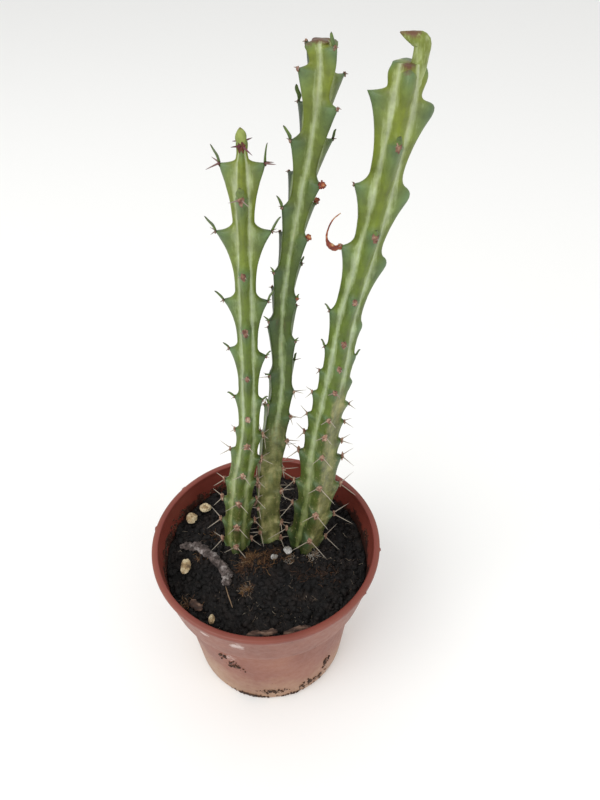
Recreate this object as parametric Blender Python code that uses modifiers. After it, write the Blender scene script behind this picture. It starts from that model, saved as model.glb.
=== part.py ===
"""Potted euphorbia: three four-ribbed stems and their small leaves, in a plastic nursery pot of soil.

Metres, +Z up. The origin is the centre of the pot's underside, which stands on z = 0, and -Y is the
front. Sizes are written in millimetres, and MM turns them into metres where a mesh is made.
"""

import math
from collections import namedtuple

import bmesh
import bpy
from mathutils import Matrix, Vector, noise

MM = 0.001
GAP = 0.3  # kept between pieces that touch

# The pot, which is turned: a lip, a collar under it, a step in, and a tapering body.
POT_HEIGHT = 65.0
RIM_RADIUS = 42.5
LIP_WIDTH = 2.4
LIP_HEIGHT = 1.8
LIP_OVERHANG = 0.6
COLLAR_HEIGHT = 19.0
COLLAR_TAPER = 3.5
COLLAR_STEP = 3.4
STEP_HEIGHT = 1.6
BODY_TAPER = 4.2
WALL = 1.1
FLOOR = 1.8
FOOT_ROUND = 1.5
POT_SIDES = 48

# Drainage holes through the floor, clear of its centre.
HOLE_COUNT = 4
HOLE_RADIUS = 3.0
HOLE_RING_RADIUS = 19.0

# The soil: its level below the rim, and the low mounds and dips in its top.
HEADSPACE = 11.0
SOIL_SIDES = 48
SOIL_EDGE_DEPTH = 4.0  # the soil's side is plain for this far below its level
SOIL_RINGS = (0.96, 0.88, 0.78, 0.67, 0.56, 0.45, 0.34, 0.23, 0.12)
# (x, y, height, spread), where x, y and spread are shares of the soil's radius
SOIL_MOUNDS = (
    (-0.10, -0.16, 2.6, 0.23),
    (0.55, -0.29, 1.6, 0.23),
    (0.00, 0.78, 3.0, 0.37),
    (0.86, 0.10, -2.4, 0.21),
    (-0.78, -0.21, -1.2, 0.23),
    (0.21, -0.65, -1.0, 0.26),
)
SOIL_LUMP = 0.5
SOIL_LUMP_SPACING = 6.0

# The stems. Each is a four-ribbed column whose teeth stand in opposite pairs, each pair at right
# angles to the next. Heights are above the soil's level. A section gives the centre line and three
# radii at one height: to the tips of the teeth, to the rib's edge between teeth, and to the bottom
# of the grooves. A node gives the heights of the two teeth of a pair.
# flare is how late a rib swings out towards its next tooth, and twist is in degrees per millimetre.
Section = namedtuple("Section", "height x y tooth neck groove")
Stem = namedtuple("Stem", "turn twist flare sections nodes")
BURIED_END = -16.0
LEFT_Y = 4.0
MIDDLE_Y = 11.0
RIGHT_Y = 5.0

STEMS = {
    "stem_left": Stem(
        turn=0.0,
        twist=0.0,
        flare=2.3,
        sections=(
            Section(BURIED_END, -12.4, LEFT_Y, 4.4, 4.4, 3.3),
            Section(0, -11.8, LEFT_Y, 4.9, 4.6, 3.4),
            Section(6, -11.5, LEFT_Y, 5.8, 4.7, 3.4),
            Section(17, -10.5, LEFT_Y, 6.5, 4.7, 3.4),
            Section(29, -9.2, LEFT_Y, 6.3, 4.6, 3.3),
            Section(39, -8.0, LEFT_Y, 6.0, 4.4, 3.2),
            Section(51, -5.8, LEFT_Y, 5.7, 3.9, 2.9),
            Section(63, -4.1, LEFT_Y, 4.7, 3.4, 2.5),
            Section(76, -3.5, LEFT_Y, 4.6, 3.1, 2.3),
            Section(93, -2.8, LEFT_Y, 5.6, 3.0, 2.3),
            Section(111, -2.4, LEFT_Y, 6.4, 2.9, 2.2),
            Section(132, -1.8, LEFT_Y, 7.5, 2.8, 2.1),
            Section(143, -1.5, LEFT_Y, 7.0, 2.8, 2.1),
            Section(149.5, -1.2, LEFT_Y, 5.7, 1.8, 1.5),
            Section(152, -1.1, LEFT_Y, 3.0, 1.2, 1.0),
            Section(154, -1.0, LEFT_Y, 2.0, 1.0, 0.8),
            Section(155.5, -1.0, LEFT_Y, 0.8, 0.8, 0.6),
        ),
        nodes=(
            (5, 5), (7, 7), (16, 17), (19.5, 19.5), (28, 29), (32, 32), (38, 38.5), (46, 46),
            (49, 53.5), (59, 59), (60, 62.5), (70.5, 70.5), (75, 76.5), (87.5, 87.5),
            (92, 95), (104.5, 104.5), (111, 111.5), (122.5, 122.5), (132, 132), (143, 143),
            (149.5, 149.5), (154, 154),
        ),
    ),
    "stem_middle": Stem(
        turn=-33.0,
        twist=-0.123,
        flare=1.7,
        sections=(
            Section(BURIED_END, 0.6, MIDDLE_Y - 3, 4.4, 4.4, 3.3),
            Section(0, 0.8, MIDDLE_Y - 2.6, 5.2, 4.8, 3.5),
            Section(8, 0.7, MIDDLE_Y - 1.8, 6.0, 4.9, 3.5),
            Section(22, 0.8, MIDDLE_Y - 0.8, 6.2, 5.0, 3.5),
            Section(40, 2.0, MIDDLE_Y, 6.3, 5.1, 3.5),
            Section(58, 4.3, MIDDLE_Y, 6.0, 4.9, 3.4),
            Section(77, 6.8, MIDDLE_Y, 5.6, 4.2, 3.0),
            Section(96, 7.2, MIDDLE_Y, 6.1, 3.7, 2.7),
            Section(111, 8.3, MIDDLE_Y - 0.5, 5.4, 3.5, 2.5),
            Section(127, 10.8, MIDDLE_Y - 1, 5.7, 3.4, 2.4),
            Section(137, 12.6, MIDDLE_Y - 1, 6.2, 3.5, 2.4),
            Section(154, 15.8, MIDDLE_Y - 1.5, 7.2, 3.5, 2.5),
            Section(168, 17.5, MIDDLE_Y - 2, 7.2, 3.6, 2.5),
            Section(172.5, 17.5, MIDDLE_Y - 1.8, 5.9, 3.2, 2.2),
            Section(174, 17.3, MIDDLE_Y - 1.5, 5.3, 2.6, 1.8),
            Section(174.8, 17.3, MIDDLE_Y - 1.5, 2.2, 2.0, 1.4),
        ),
        nodes=(
            (3, 2), (8, 9), (12, 14), (21, 23), (29, 28), (33, 35), (40, 39), (45, 44), (54, 51),
            (57, 57), (65, 64), (70.5, 69.5), (75.5, 76), (82.5, 82.5), (95.5, 95),
            (102.5, 103), (110, 109.5), (118.5, 117.5), (129, 127), (137.5, 135.5), (143.5, 143.5),
            (154.5, 152), (162, 160.5), (170, 167), (174, 173.6),
        ),
    ),
    "stem_right": Stem(
        turn=0.0,
        twist=0.0,
        flare=2.0,
        sections=(
            Section(BURIED_END, 13.9, RIGHT_Y, 5.0, 5.0, 3.8),
            Section(0, 14.6, RIGHT_Y, 6.2, 5.6, 4.2),
            Section(8, 15.5, RIGHT_Y, 8.2, 6.2, 4.4),
            Section(22, 17.7, RIGHT_Y, 8.1, 6.2, 4.4),
            Section(36, 18.9, RIGHT_Y, 8.4, 6.2, 4.3),
            Section(50.5, 19.5, RIGHT_Y, 7.7, 5.9, 4.0),
            Section(58.5, 20.2, RIGHT_Y, 6.5, 5.4, 3.8),
            Section(67, 21.1, RIGHT_Y, 6.5, 5.2, 3.6),
            Section(75, 22.3, RIGHT_Y, 6.5, 4.9, 3.5),
            Section(84, 23.6, RIGHT_Y, 5.5, 4.5, 3.3),
            Section(93, 24.7, RIGHT_Y, 5.1, 4.2, 3.1),
            Section(105, 26.0, RIGHT_Y, 5.4, 4.1, 3.0),
            Section(125, 30.0, RIGHT_Y, 7.0, 4.0, 3.0),
            Section(142, 33.1, RIGHT_Y, 7.5, 4.1, 3.1),
            Section(163, 36.0, RIGHT_Y, 8.1, 4.1, 3.1),
            Section(166, 36.2, RIGHT_Y, 8.2, 4.0, 3.1),
            Section(170.5, 36.5, RIGHT_Y, 3.9, 3.6, 2.9),
            Section(171.3, 36.5, RIGHT_Y, 3.5, 3.4, 2.8),
        ),
        nodes=(
            (5, 10), (12.5, 12.5), (18.5, 25), (27, 27), (35, 37), (41.5, 41.5), (49, 52), (55, 55),
            (56.5, 60.5), (63.5, 63.5), (65, 68.5), (71, 71), (72.5, 77.5), (81.5, 81.5),
            (82, 86), (90, 90), (91.5, 95), (99, 99), (102.5, 107.5), (113.5, 113.5),
            (123, 127.5), (133, 133), (142, 144), (155.5, 155.5), (162.5, 165.5), (170.5, 170.5),
        ),
    ),
}
RINGS_PER_NODE = 3
COLUMNS_PER_RIB = 4
RIBS = 4
NOTCH = 0.3  # share of the way to the next tooth that the notch above a tooth takes
NOTCH_RISE = 0.15  # share of the way that the notch climbs
RIB_THINNING = 1.5  # how fast a rib narrows from the groove to its edge
SOCKET_GAP = 0.6  # between a stem's foot and the plain sides of its hole in the soil
SOCKET_HEIGHTS = (BURIED_END - GAP, -8.0, 0.0, 12.0)  # of the hole's rings

# The right stem has lost its tip, and one rib grew on past the scar in a small hook.
# (x, height above the soil, radius), from inside the stem to the hook's point.
HOOK = (
    (38.0, 165.0, 1.8),
    (38.6, 169.0, 1.9),
    (39.1, 172.5, 1.8),
    (39.2, 175.0, 1.9),
    (37.4, 175.8, 1.6),
    (35.7, 176.2, 1.2),
    (34.3, 177.0, 0.4),
)

# Leaves that are still on the teeth: stem, rib, node, length, and lean from upright in degrees. Ribs
# count from the right-hand one, towards the back, and nodes from the lowest.
LEAVES = (
    ("stem_left", 3, 21, 3.4, 2),
    ("stem_left", 3, 19, 3.3, 12),
    ("stem_left", 0, 20, 4.6, 2),
    ("stem_left", 2, 20, 4.4, 16),
    ("stem_left", 0, 18, 4.4, 26),
    ("stem_left", 2, 18, 4.4, 26),
    ("stem_left", 0, 16, 4.2, 20),
    ("stem_left", 2, 16, 3.3, 34),
    ("stem_left", 0, 14, 2.2, 36),
    ("stem_left", 2, 14, 2.3, 36),
    ("stem_left", 0, 12, 2.2, 50),
    ("stem_left", 2, 12, 2.2, 50),
    ("stem_middle", 0, 24, 3.0, -35),
    ("stem_middle", 3, 21, 4.0, 22),
    ("stem_middle", 3, 19, 3.7, 20),
    ("stem_middle", 3, 17, 2.0, 24),
    ("stem_middle", 3, 15, 2.8, 30),
    ("stem_middle", 3, 13, 2.2, 55),
    ("stem_middle", 3, 11, 3.2, 8),
    ("stem_middle", 2, 22, 3.4, 8),
    ("stem_middle", 1, 21, 2.2, 20),
    ("stem_middle", 1, 17, 2.0, 24),
    ("stem_middle", 1, 13, 2.3, 24),
    ("stem_middle", 0, 16, 2.2, 20),
    ("stem_middle", 0, 14, 2.0, 30),
    ("stem_right", 2, 18, 2.4, 30),
    ("stem_right", 2, 16, 2.6, 20),
    ("stem_right", 0, 16, 2.4, 24),
    ("stem_right", 3, 23, 2.4, 12),
    ("stem_right", 3, 21, 2.2, 12),
)
LEAF_WIDTH_SHARE = 0.42
LEAF_THICKNESS = 0.6
LEAF_INSET = 0.2  # a leaf starts this far in from its tooth's tip
LEAF_LIFT = 0.6  # and this far above it, which clears the tooth's upper edge

# A leaf that withered on the right stem and curled: (out from its tooth's tip, up, radius).
WITHERED_LEAF = (
    (0.5, -0.4, 0.8),
    (1.9, -0.6, 1.0),
    (3.0, 0.8, 0.9),
    (3.3, 3.0, 0.6),
    (2.8, 5.2, 0.45),
    (1.6, 7.2, 0.4),
    (-0.2, 8.8, 0.3),
)
WITHERED_RIB, WITHERED_NODE = 2, 20

# Loose pieces on the soil. Each x and y, and a chip's length, is a share of the soil's radius.
BARK_STRIP = (
    (-0.89, 0.07), (-0.78, 0.09), (-0.68, 0.07), (-0.58, -0.02), (-0.46, -0.13), (-0.38, -0.27),
    (-0.38, -0.39),
)
BARK_WIDTH = 4.2
BARK_THICKNESS = 2.2
# name: x, y, length, width, thickness, heading in degrees
CHIPS = {
    "wood_chip_front_left": (-0.01, -0.88, 0.288, 3.0, 1.6, 8.0),
    "wood_chip_front_right": (0.31, -0.85, 0.262, 2.6, 1.6, 14.0),
    "wood_chip_left": (-0.64, -0.60, 0.157, 3.0, 1.6, -44.0),
}
# name: x, y, length, width, height
GRAINS = {
    "pumice_grain_1": (-0.81, 0.42, 4.6, 5.0, 3.4),
    "pumice_grain_2": (-0.68, 0.56, 5.0, 4.4, 3.4),
    "pumice_grain_3": (-0.80, -0.16, 4.2, 6.4, 3.2),
    "pumice_grain_4": (-0.48, -0.74, 2.4, 3.6, 2.0),
    "perlite_lump_1": (0.21, 0.01, 3.6, 3.4, 2.8),
    "perlite_lump_2": (0.08, -0.09, 3.0, 2.4, 2.2),
}
GRAIN_ROUGHNESS = 0.16


def new_collection(name):
    collection = bpy.data.collections.new(name)
    bpy.context.scene.collection.children.link(collection)
    return collection


def principled(name, colour, roughness, metallic=0.0):
    material = bpy.data.materials.new(name)
    material.use_nodes = True
    shader = material.node_tree.nodes["Principled BSDF"]
    shader.inputs["Base Color"].default_value = (*colour, 1.0)
    shader.inputs["Roughness"].default_value = roughness
    shader.inputs["Metallic"].default_value = metallic
    material.diffuse_color = (*colour, 1.0)
    return material


def place(name, mesh, material, collection):
    """An object of this mesh, shaded smooth except at its sharp edges."""
    obj = bpy.data.objects.new(name, mesh)
    mesh.materials.append(material)
    mesh.shade_smooth()
    mesh.set_sharp_from_angle(angle=math.radians(40))
    collection.objects.link(obj)
    return obj


def cutter(name, mesh):
    obj = bpy.data.objects.new(name, mesh)
    obj.hide_render = True
    obj.display_type = "WIRE"
    cutters.objects.link(obj)
    return obj


def boolean(obj, other, operation):
    modifier = obj.modifiers.new(other.name, "BOOLEAN")
    modifier.operation = operation
    modifier.solver = "EXACT"
    modifier.object = other


def turned(name, profile, sides, material, collection):
    """A body of revolution about Z from an (x, z) profile that runs down its outer side."""
    mesh = bpy.data.meshes.new(name)
    points = [(x * MM, 0.0, z * MM) for x, z in profile]
    mesh.from_pydata(points, [(i, i + 1) for i in range(len(points) - 1)], [])
    obj = place(name, mesh, material, collection)
    screw = obj.modifiers.new("Turn", "SCREW")
    screw.steps = screw.render_steps = sides
    screw.use_merge_vertices = True
    screw.merge_threshold = 0.0001
    screw.use_smooth_shade = True
    return obj


def loft(name, rings):
    """A closed mesh through rings of points in millimetres, each end closed by a fan to its middle."""
    bm = bmesh.new()
    made = [[bm.verts.new(point * MM) for point in ring] for ring in rings]
    for lower, upper in zip(made[:-1], made[1:]):
        for i, _ in enumerate(lower):
            j = (i + 1) % len(lower)
            bm.faces.new((lower[i], lower[j], upper[j], upper[i]))
    for ring, turn in ((made[0], -1), (made[-1], 1)):
        middle = bm.verts.new(sum((vert.co for vert in ring), Vector()) / len(ring))
        for i, _ in enumerate(ring):
            j = (i + 1) % len(ring)
            bm.faces.new((ring[i], ring[j], middle)[::turn])
    mesh = bpy.data.meshes.new(name)
    bm.to_mesh(mesh)
    bm.free()
    return mesh


def tube(name, points, radii, flatness=1.0, sides=1):
    """A closed mesh tube along points in millimetres; flatness scales its height after it is made."""
    curve = bpy.data.curves.new(name, "CURVE")
    curve.dimensions = "3D"
    curve.bevel_depth = MM
    curve.bevel_resolution = sides
    curve.use_fill_caps = True
    spline = curve.splines.new("POLY")
    spline.points.add(len(points) - 1)
    for target, point, radius in zip(spline.points, points, radii):
        target.co = (*(point * MM), 1.0)
        target.radius = radius
    guide = bpy.data.objects.new(name + "_guide", curve)
    cutters.objects.link(guide)
    evaluated = guide.evaluated_get(bpy.context.evaluated_depsgraph_get())
    mesh = bpy.data.meshes.new_from_object(evaluated)
    bpy.data.objects.remove(guide)
    bm = bmesh.new()
    bm.from_mesh(mesh)
    bmesh.ops.remove_doubles(bm, verts=bm.verts, dist=1e-6)
    height = points[0].z * MM
    for vert in bm.verts:
        vert.co.z = height + (vert.co.z - height) * flatness
    bm.to_mesh(mesh)
    bm.free()
    return mesh


# ---- Pot ----

COLLAR_BOTTOM = POT_HEIGHT - COLLAR_HEIGHT
COLLAR_RADIUS = RIM_RADIUS - LIP_OVERHANG - COLLAR_TAPER
BODY_RADIUS = COLLAR_RADIUS - COLLAR_STEP
BASE_RADIUS = BODY_RADIUS - BODY_TAPER
MOUTH_RADIUS = RIM_RADIUS - LIP_WIDTH
SOIL_LEVEL = POT_HEIGHT - HEADSPACE

INNER_PROFILE = (
    (0.0, FLOOR),
    (BASE_RADIUS - WALL - FOOT_ROUND, FLOOR),
    (BASE_RADIUS - WALL, FLOOR + FOOT_ROUND),
    (BODY_RADIUS - WALL, COLLAR_BOTTOM - STEP_HEIGHT / 2),
    (COLLAR_RADIUS - WALL, COLLAR_BOTTOM + STEP_HEIGHT / 2),
    (MOUTH_RADIUS, POT_HEIGHT - LIP_HEIGHT),
    (MOUTH_RADIUS, POT_HEIGHT - LIP_HEIGHT / 4),
    (MOUTH_RADIUS + LIP_HEIGHT / 4, POT_HEIGHT),
)
OUTER_PROFILE = (
    (RIM_RADIUS - LIP_HEIGHT / 4, POT_HEIGHT),
    (RIM_RADIUS, POT_HEIGHT - LIP_HEIGHT / 4),
    (RIM_RADIUS, POT_HEIGHT - LIP_HEIGHT),
    (RIM_RADIUS - LIP_OVERHANG, POT_HEIGHT - LIP_HEIGHT - LIP_OVERHANG / 2),
    (COLLAR_RADIUS, COLLAR_BOTTOM),
    (COLLAR_RADIUS - COLLAR_STEP * 0.6, COLLAR_BOTTOM - STEP_HEIGHT * 0.4),
    (BODY_RADIUS, COLLAR_BOTTOM - STEP_HEIGHT),
    (BASE_RADIUS, FOOT_ROUND),
    (BASE_RADIUS - FOOT_ROUND * 0.3, FOOT_ROUND * 0.3),
    (BASE_RADIUS - FOOT_ROUND, 0.0),
    (0.0, 0.0),
)


def inner_radius(height):
    """The radius of the pot's inner wall at a height above its floor."""
    for (r0, z0), (r1, z1) in zip(INNER_PROFILE[1:-1], INNER_PROFILE[2:]):
        if z0 <= height <= z1 and z1 > z0:
            return r0 + (r1 - r0) * (height - z0) / (z1 - z0)
    return MOUTH_RADIUS


def build_pot():
    plastic = principled("terracotta_polypropylene", (0.36, 0.12, 0.08), 0.45)
    pot = turned("pot", INNER_PROFILE + OUTER_PROFILE, POT_SIDES, plastic, parts)
    for i in range(HOLE_COUNT):
        bearing = math.tau * (i + 0.5) / HOLE_COUNT
        bm = bmesh.new()
        radius = HOLE_RADIUS * MM
        bmesh.ops.create_cone(
            bm, cap_ends=True, segments=16, radius1=radius, radius2=radius, depth=4 * FLOOR * MM
        )
        mesh = bpy.data.meshes.new(f"drain_{i}")
        bm.to_mesh(mesh)
        bm.free()
        drain = cutter(f"drain_{i}", mesh)
        ring = HOLE_RING_RADIUS * MM
        drain.location = (ring * math.cos(bearing), ring * math.sin(bearing), 0.0)
        boolean(pot, drain, "DIFFERENCE")


# ---- Stems ----


def section_at(stem, height):
    """The stem's section at a height, on a smooth curve through its sections."""
    rows = stem.sections
    height = min(max(height, rows[0].height), rows[-1].height)
    i = max(k for k in range(len(rows) - 1) if rows[k].height <= height)
    before, low, high = rows[max(i - 1, 0)], rows[i], rows[i + 1]
    after = rows[min(i + 2, len(rows) - 1)]
    span = high.height - low.height
    t = (height - low.height) / span
    values = []
    for a, b, c, d in zip(before[1:], low[1:], high[1:], after[1:]):
        slope_low = (c - a) / (high.height - before.height) * span
        slope_high = (d - b) / (after.height - low.height) * span
        values.append(
            b * (1 + 2 * t) * (1 - t) ** 2
            + slope_low * t * (1 - t) ** 2
            + c * t * t * (3 - 2 * t)
            - slope_high * t * t * (1 - t)
        )
    return Section(height, *values)


def rib_keys(stem, rib):
    """(ring, height) of the rib's lowest point, each of its teeth, and its top."""
    rings = (len(stem.nodes) + 1) * RINGS_PER_NODE
    keys = [(0, stem.sections[0].height)]
    for node, heights in enumerate(stem.nodes):
        if node % 2 == rib % 2:
            height = heights[0] if rib in (0, 3) else heights[1]
            keys.append(((node + 1) * RINGS_PER_NODE, height))
    return keys + [(rings, stem.sections[-1].height)]


def rib_at(keys, ring, bend):
    """(height, reach) of a rib's edge at a ring, where reach is 1 at a tooth's tip and 0 at the neck."""
    low, high = next((a, b) for a, b in zip(keys[:-1], keys[1:]) if a[0] <= ring <= b[0])
    way = (ring - low[0]) / (high[0] - low[0])
    if way < NOTCH:
        arc = way / NOTCH * math.pi / 2
        reach, climb = 1 - math.sin(arc), NOTCH_RISE * (1 - math.cos(arc))
    else:
        flare = (way - NOTCH) / (1 - NOTCH)
        reach, climb = flare**bend, NOTCH_RISE + (1 - NOTCH_RISE) * flare
    return low[1] + (high[1] - low[1]) * climb, reach


def bearing_of(stem, rib, height):
    """The direction that a rib, or a share of the way to the next one, points in at a height."""
    return math.radians(stem.turn + stem.twist * height + rib * 360 / RIBS)


def stem_rings(stem):
    """The stem's rings of points, from its buried end up."""
    keys = [rib_keys(stem, rib) for rib in range(RIBS)]
    rings = []
    for ring in range((len(stem.nodes) + 1) * RINGS_PER_NODE + 1):
        ribs = [rib_at(key, ring, stem.flare) for key in keys]
        points = []
        for column in range(RIBS * COLUMNS_PER_RIB):
            rib, step = divmod(column, COLUMNS_PER_RIB)
            share = step / COLUMNS_PER_RIB
            (height_a, reach_a), (height_b, reach_b) = ribs[rib], ribs[(rib + 1) % RIBS]
            height = height_a + (height_b - height_a) * share
            section = section_at(stem, height)
            reach, nearness = (reach_a, 1 - 2 * share) if share < 0.5 else (reach_b, 2 * share - 1)
            edge = section.neck + (section.tooth - section.neck) * reach
            radius = section.groove + (edge - section.groove) * nearness**RIB_THINNING
            bearing = bearing_of(stem, rib + share, height)
            x = section.x + radius * math.cos(bearing)
            y = section.y + radius * math.sin(bearing)
            points.append(Vector((x, y, SOIL_LEVEL + height)))
        rings.append(points)
    return rings


def socket_rings(stem):
    """The rings of a plain-sided hole that clears the stem's buried foot."""
    rings = []
    for height in SOCKET_HEIGHTS:
        section = section_at(stem, height)
        widest = section_at(stem, min(height, 0.0))
        tooth, groove = widest.tooth + SOCKET_GAP, widest.groove + SOCKET_GAP
        ring = []
        for column in range(RIBS * COLUMNS_PER_RIB):
            share = column / COLUMNS_PER_RIB
            radius = groove + (tooth - groove) * abs(1 - 2 * (share % 1))
            bearing = bearing_of(stem, share, height)
            x = section.x + radius * math.cos(bearing)
            y = section.y + radius * math.sin(bearing)
            ring.append(Vector((x, y, SOIL_LEVEL + height)))
        rings.append(ring)
    return rings


def tooth_of(stem, rib, node):
    """The tip of a tooth, and the level direction that it points in."""
    height = stem.nodes[node][0 if rib in (0, 3) else 1]
    section = section_at(stem, height)
    bearing = bearing_of(stem, rib, height)
    outward = Vector((math.cos(bearing), math.sin(bearing), 0.0))
    return Vector((section.x, section.y, SOIL_LEVEL + height)) + outward * section.tooth, outward


def build_stems():
    green = principled("euphorbia_skin", (0.12, 0.19, 0.05), 0.5)
    built = {}
    for name, stem in STEMS.items():
        built[name] = place(name, loft(name, stem_rings(stem)), green, parts)
    points = [Vector((x, RIGHT_Y, SOIL_LEVEL + height)) for x, height, _ in HOOK]
    hook = cutter("hook", tube("hook", points, [radius for *_, radius in HOOK]))
    boolean(built["stem_right"], hook, "UNION")


def build_leaves():
    green = principled("euphorbia_leaf", (0.05, 0.13, 0.03), 0.45)
    for name in STEMS:
        mine = [leaf for leaf in LEAVES if leaf[0] == name]
        for count, (_, rib, node, length, lean) in enumerate(mine, 1):
            tip, outward = tooth_of(STEMS[name], rib, node)
            tilt = math.radians(lean)
            along = Vector((0, 0, math.cos(tilt))) + outward * math.sin(tilt)
            across = outward.cross(along).normalized()
            bm = bmesh.new()
            bmesh.ops.create_uvsphere(bm, u_segments=6, v_segments=5, radius=0.5 * MM)
            axes = Matrix((across, along.cross(across), along)).transposed()
            shape = axes @ Matrix.Diagonal((length * LEAF_WIDTH_SHARE, LEAF_THICKNESS, length))
            bmesh.ops.transform(bm, matrix=shape.to_4x4(), verts=bm.verts)
            mesh = bpy.data.meshes.new(f"leaf_{name[5:]}_{count}")
            bm.to_mesh(mesh)
            bm.free()
            leaf = place(mesh.name, mesh, green, parts)
            foot = tip - outward * LEAF_INSET + Vector((0, 0, LEAF_LIFT))
            leaf.location = (foot + along * length / 2) * MM


def build_withered_leaf():
    brown = principled("withered_leaf", (0.35, 0.12, 0.04), 0.7)
    tip, outward = tooth_of(STEMS["stem_right"], WITHERED_RIB, WITHERED_NODE)
    points = [tip + outward * (out + GAP) + Vector((0, 0, up)) for out, up, _ in WITHERED_LEAF]
    mesh = tube("withered_leaf", points, [radius for *_, radius in WITHERED_LEAF])
    place("withered_leaf", mesh, brown, parts)


# ---- Soil and what lies on it ----

SOIL_RADIUS = inner_radius(SOIL_LEVEL) - GAP


def soil_height(x, y):
    """The height of the soil's top at a place."""
    height = SOIL_LEVEL
    for mound_x, mound_y, rise, spread in SOIL_MOUNDS:
        away = ((x / SOIL_RADIUS - mound_x) ** 2 + (y / SOIL_RADIUS - mound_y) ** 2) / spread**2
        height += rise * math.exp(-away)
    lump = noise.noise(Vector((x, y, 0.0)) / SOIL_LUMP_SPACING)
    return height + SOIL_LUMP * lump


def soil_edge(bearing):
    """Where the top of the soil meets the pot's wall."""
    cos, sin = math.cos(bearing), math.sin(bearing)
    radius = inner_radius(soil_height(SOIL_RADIUS * cos, SOIL_RADIUS * sin)) - GAP
    return Vector((radius * cos, radius * sin, soil_height(radius * cos, radius * sin)))


def build_soil():
    peat = principled("potting_soil", (0.02, 0.016, 0.013), 0.95)
    bearings = [math.tau * i / SOIL_SIDES for i in range(SOIL_SIDES)]
    rings = []
    for radius, height in INNER_PROFILE[1:5]:
        level = max(height, FLOOR + GAP)
        if level < SOIL_LEVEL - SOIL_EDGE_DEPTH:
            side = [Vector((math.cos(b), math.sin(b), 0.0)) * (radius - GAP) for b in bearings]
            rings.append([point + Vector((0, 0, level)) for point in side])
    edge = [soil_edge(bearing) for bearing in bearings]
    rings.append(edge)
    for share in SOIL_RINGS:
        flat = [Vector((point.x * share, point.y * share, 0.0)) for point in edge]
        rings.append([Vector((p.x, p.y, soil_height(p.x, p.y))) for p in flat])
    soil = place("soil", loft("soil", rings), peat, parts)
    for name, stem in STEMS.items():
        socket = cutter(f"{name}_socket", loft(f"{name}_socket", socket_rings(stem)))
        boolean(soil, socket, "DIFFERENCE")


def resting_height(x, y, reach, half_thickness):
    """The height of the middle of a piece that lies on the soil's highest point within its reach."""
    around = [(0.0, 0.0)] + [
        (share * reach * math.cos(b), share * reach * math.sin(b))
        for share in (0.5, 1.0)
        for b in (math.tau * i / 8 for i in range(8))
    ]
    return max(soil_height(x + dx, y + dy) for dx, dy in around) + half_thickness + GAP


def build_bark():
    bark = principled("weathered_bark", (0.16, 0.13, 0.13), 0.9)
    half = BARK_THICKNESS / 2
    route = [(x * SOIL_RADIUS, y * SOIL_RADIUS) for x, y in BARK_STRIP]
    level = max(resting_height(x, y, BARK_WIDTH / 2, half) for x, y in route)
    points = [Vector((x, y, level)) for x, y in route]
    widths = [BARK_WIDTH / 2 * (0.8 if i in (0, len(points) - 1) else 1.0) for i in range(len(points))]
    mesh = tube("bark_strip", points, widths, BARK_THICKNESS / BARK_WIDTH)
    place("bark_strip", mesh, bark, parts)
    for name, (x, y, length, width, thickness, heading) in CHIPS.items():
        x, y, length = x * SOIL_RADIUS, y * SOIL_RADIUS, length * SOIL_RADIUS
        bm = bmesh.new()
        bmesh.ops.create_cube(bm, size=MM)
        bmesh.ops.scale(bm, vec=(length, width, thickness), verts=bm.verts)
        bmesh.ops.bevel(bm, geom=bm.edges, offset=thickness / 3 * MM, segments=1, affect="EDGES")
        mesh = bpy.data.meshes.new(name)
        bm.to_mesh(mesh)
        bm.free()
        chip = place(name, mesh, bark, parts)
        chip.location = Vector((x, y, resting_height(x, y, length / 2, thickness / 2))) * MM
        chip.rotation_euler.z = math.radians(heading)


def build_grains():
    pumice = principled("pumice", (0.55, 0.47, 0.30), 0.9)
    perlite = principled("perlite", (0.60, 0.60, 0.58), 0.9)
    for name, (x, y, *sizes) in GRAINS.items():
        bm = bmesh.new()
        bmesh.ops.create_icosphere(bm, subdivisions=2, radius=0.5 * MM)
        for vert in bm.verts:
            dent = noise.noise(vert.co.normalized() * 1.7 + Vector((x, y, 0.0)))
            vert.co *= 1 + GRAIN_ROUGHNESS * dent
        bmesh.ops.scale(bm, vec=sizes, verts=bm.verts)
        mesh = bpy.data.meshes.new(name)
        bm.to_mesh(mesh)
        bm.free()
        grain = place(name, mesh, pumice if name.startswith("pumice") else perlite, parts)
        half = sizes[2] / 2 * (1 + GRAIN_ROUGHNESS)
        x, y = x * SOIL_RADIUS, y * SOIL_RADIUS
        grain.location = Vector((x, y, resting_height(x, y, max(sizes) / 3, half))) * MM


for old in list(bpy.data.objects):
    bpy.data.objects.remove(old)
parts = new_collection("potted_euphorbia")
cutters = new_collection("cutters")
build_pot()
build_stems()
build_leaves()
build_withered_leaf()
build_soil()
build_bark()
build_grains()
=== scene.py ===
"""Potted euphorbia: the looks of the plant, its soil and its nursery pot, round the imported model.

Metres, +Z up. The pot's underside stands on z = 0 and -Y is the front. Sizes are written in
millimetres, and MM turns them into metres where a mesh is made.
"""

import math
import random
from collections import namedtuple

import bmesh
import bpy
from mathutils import Matrix, Vector, noise


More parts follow.
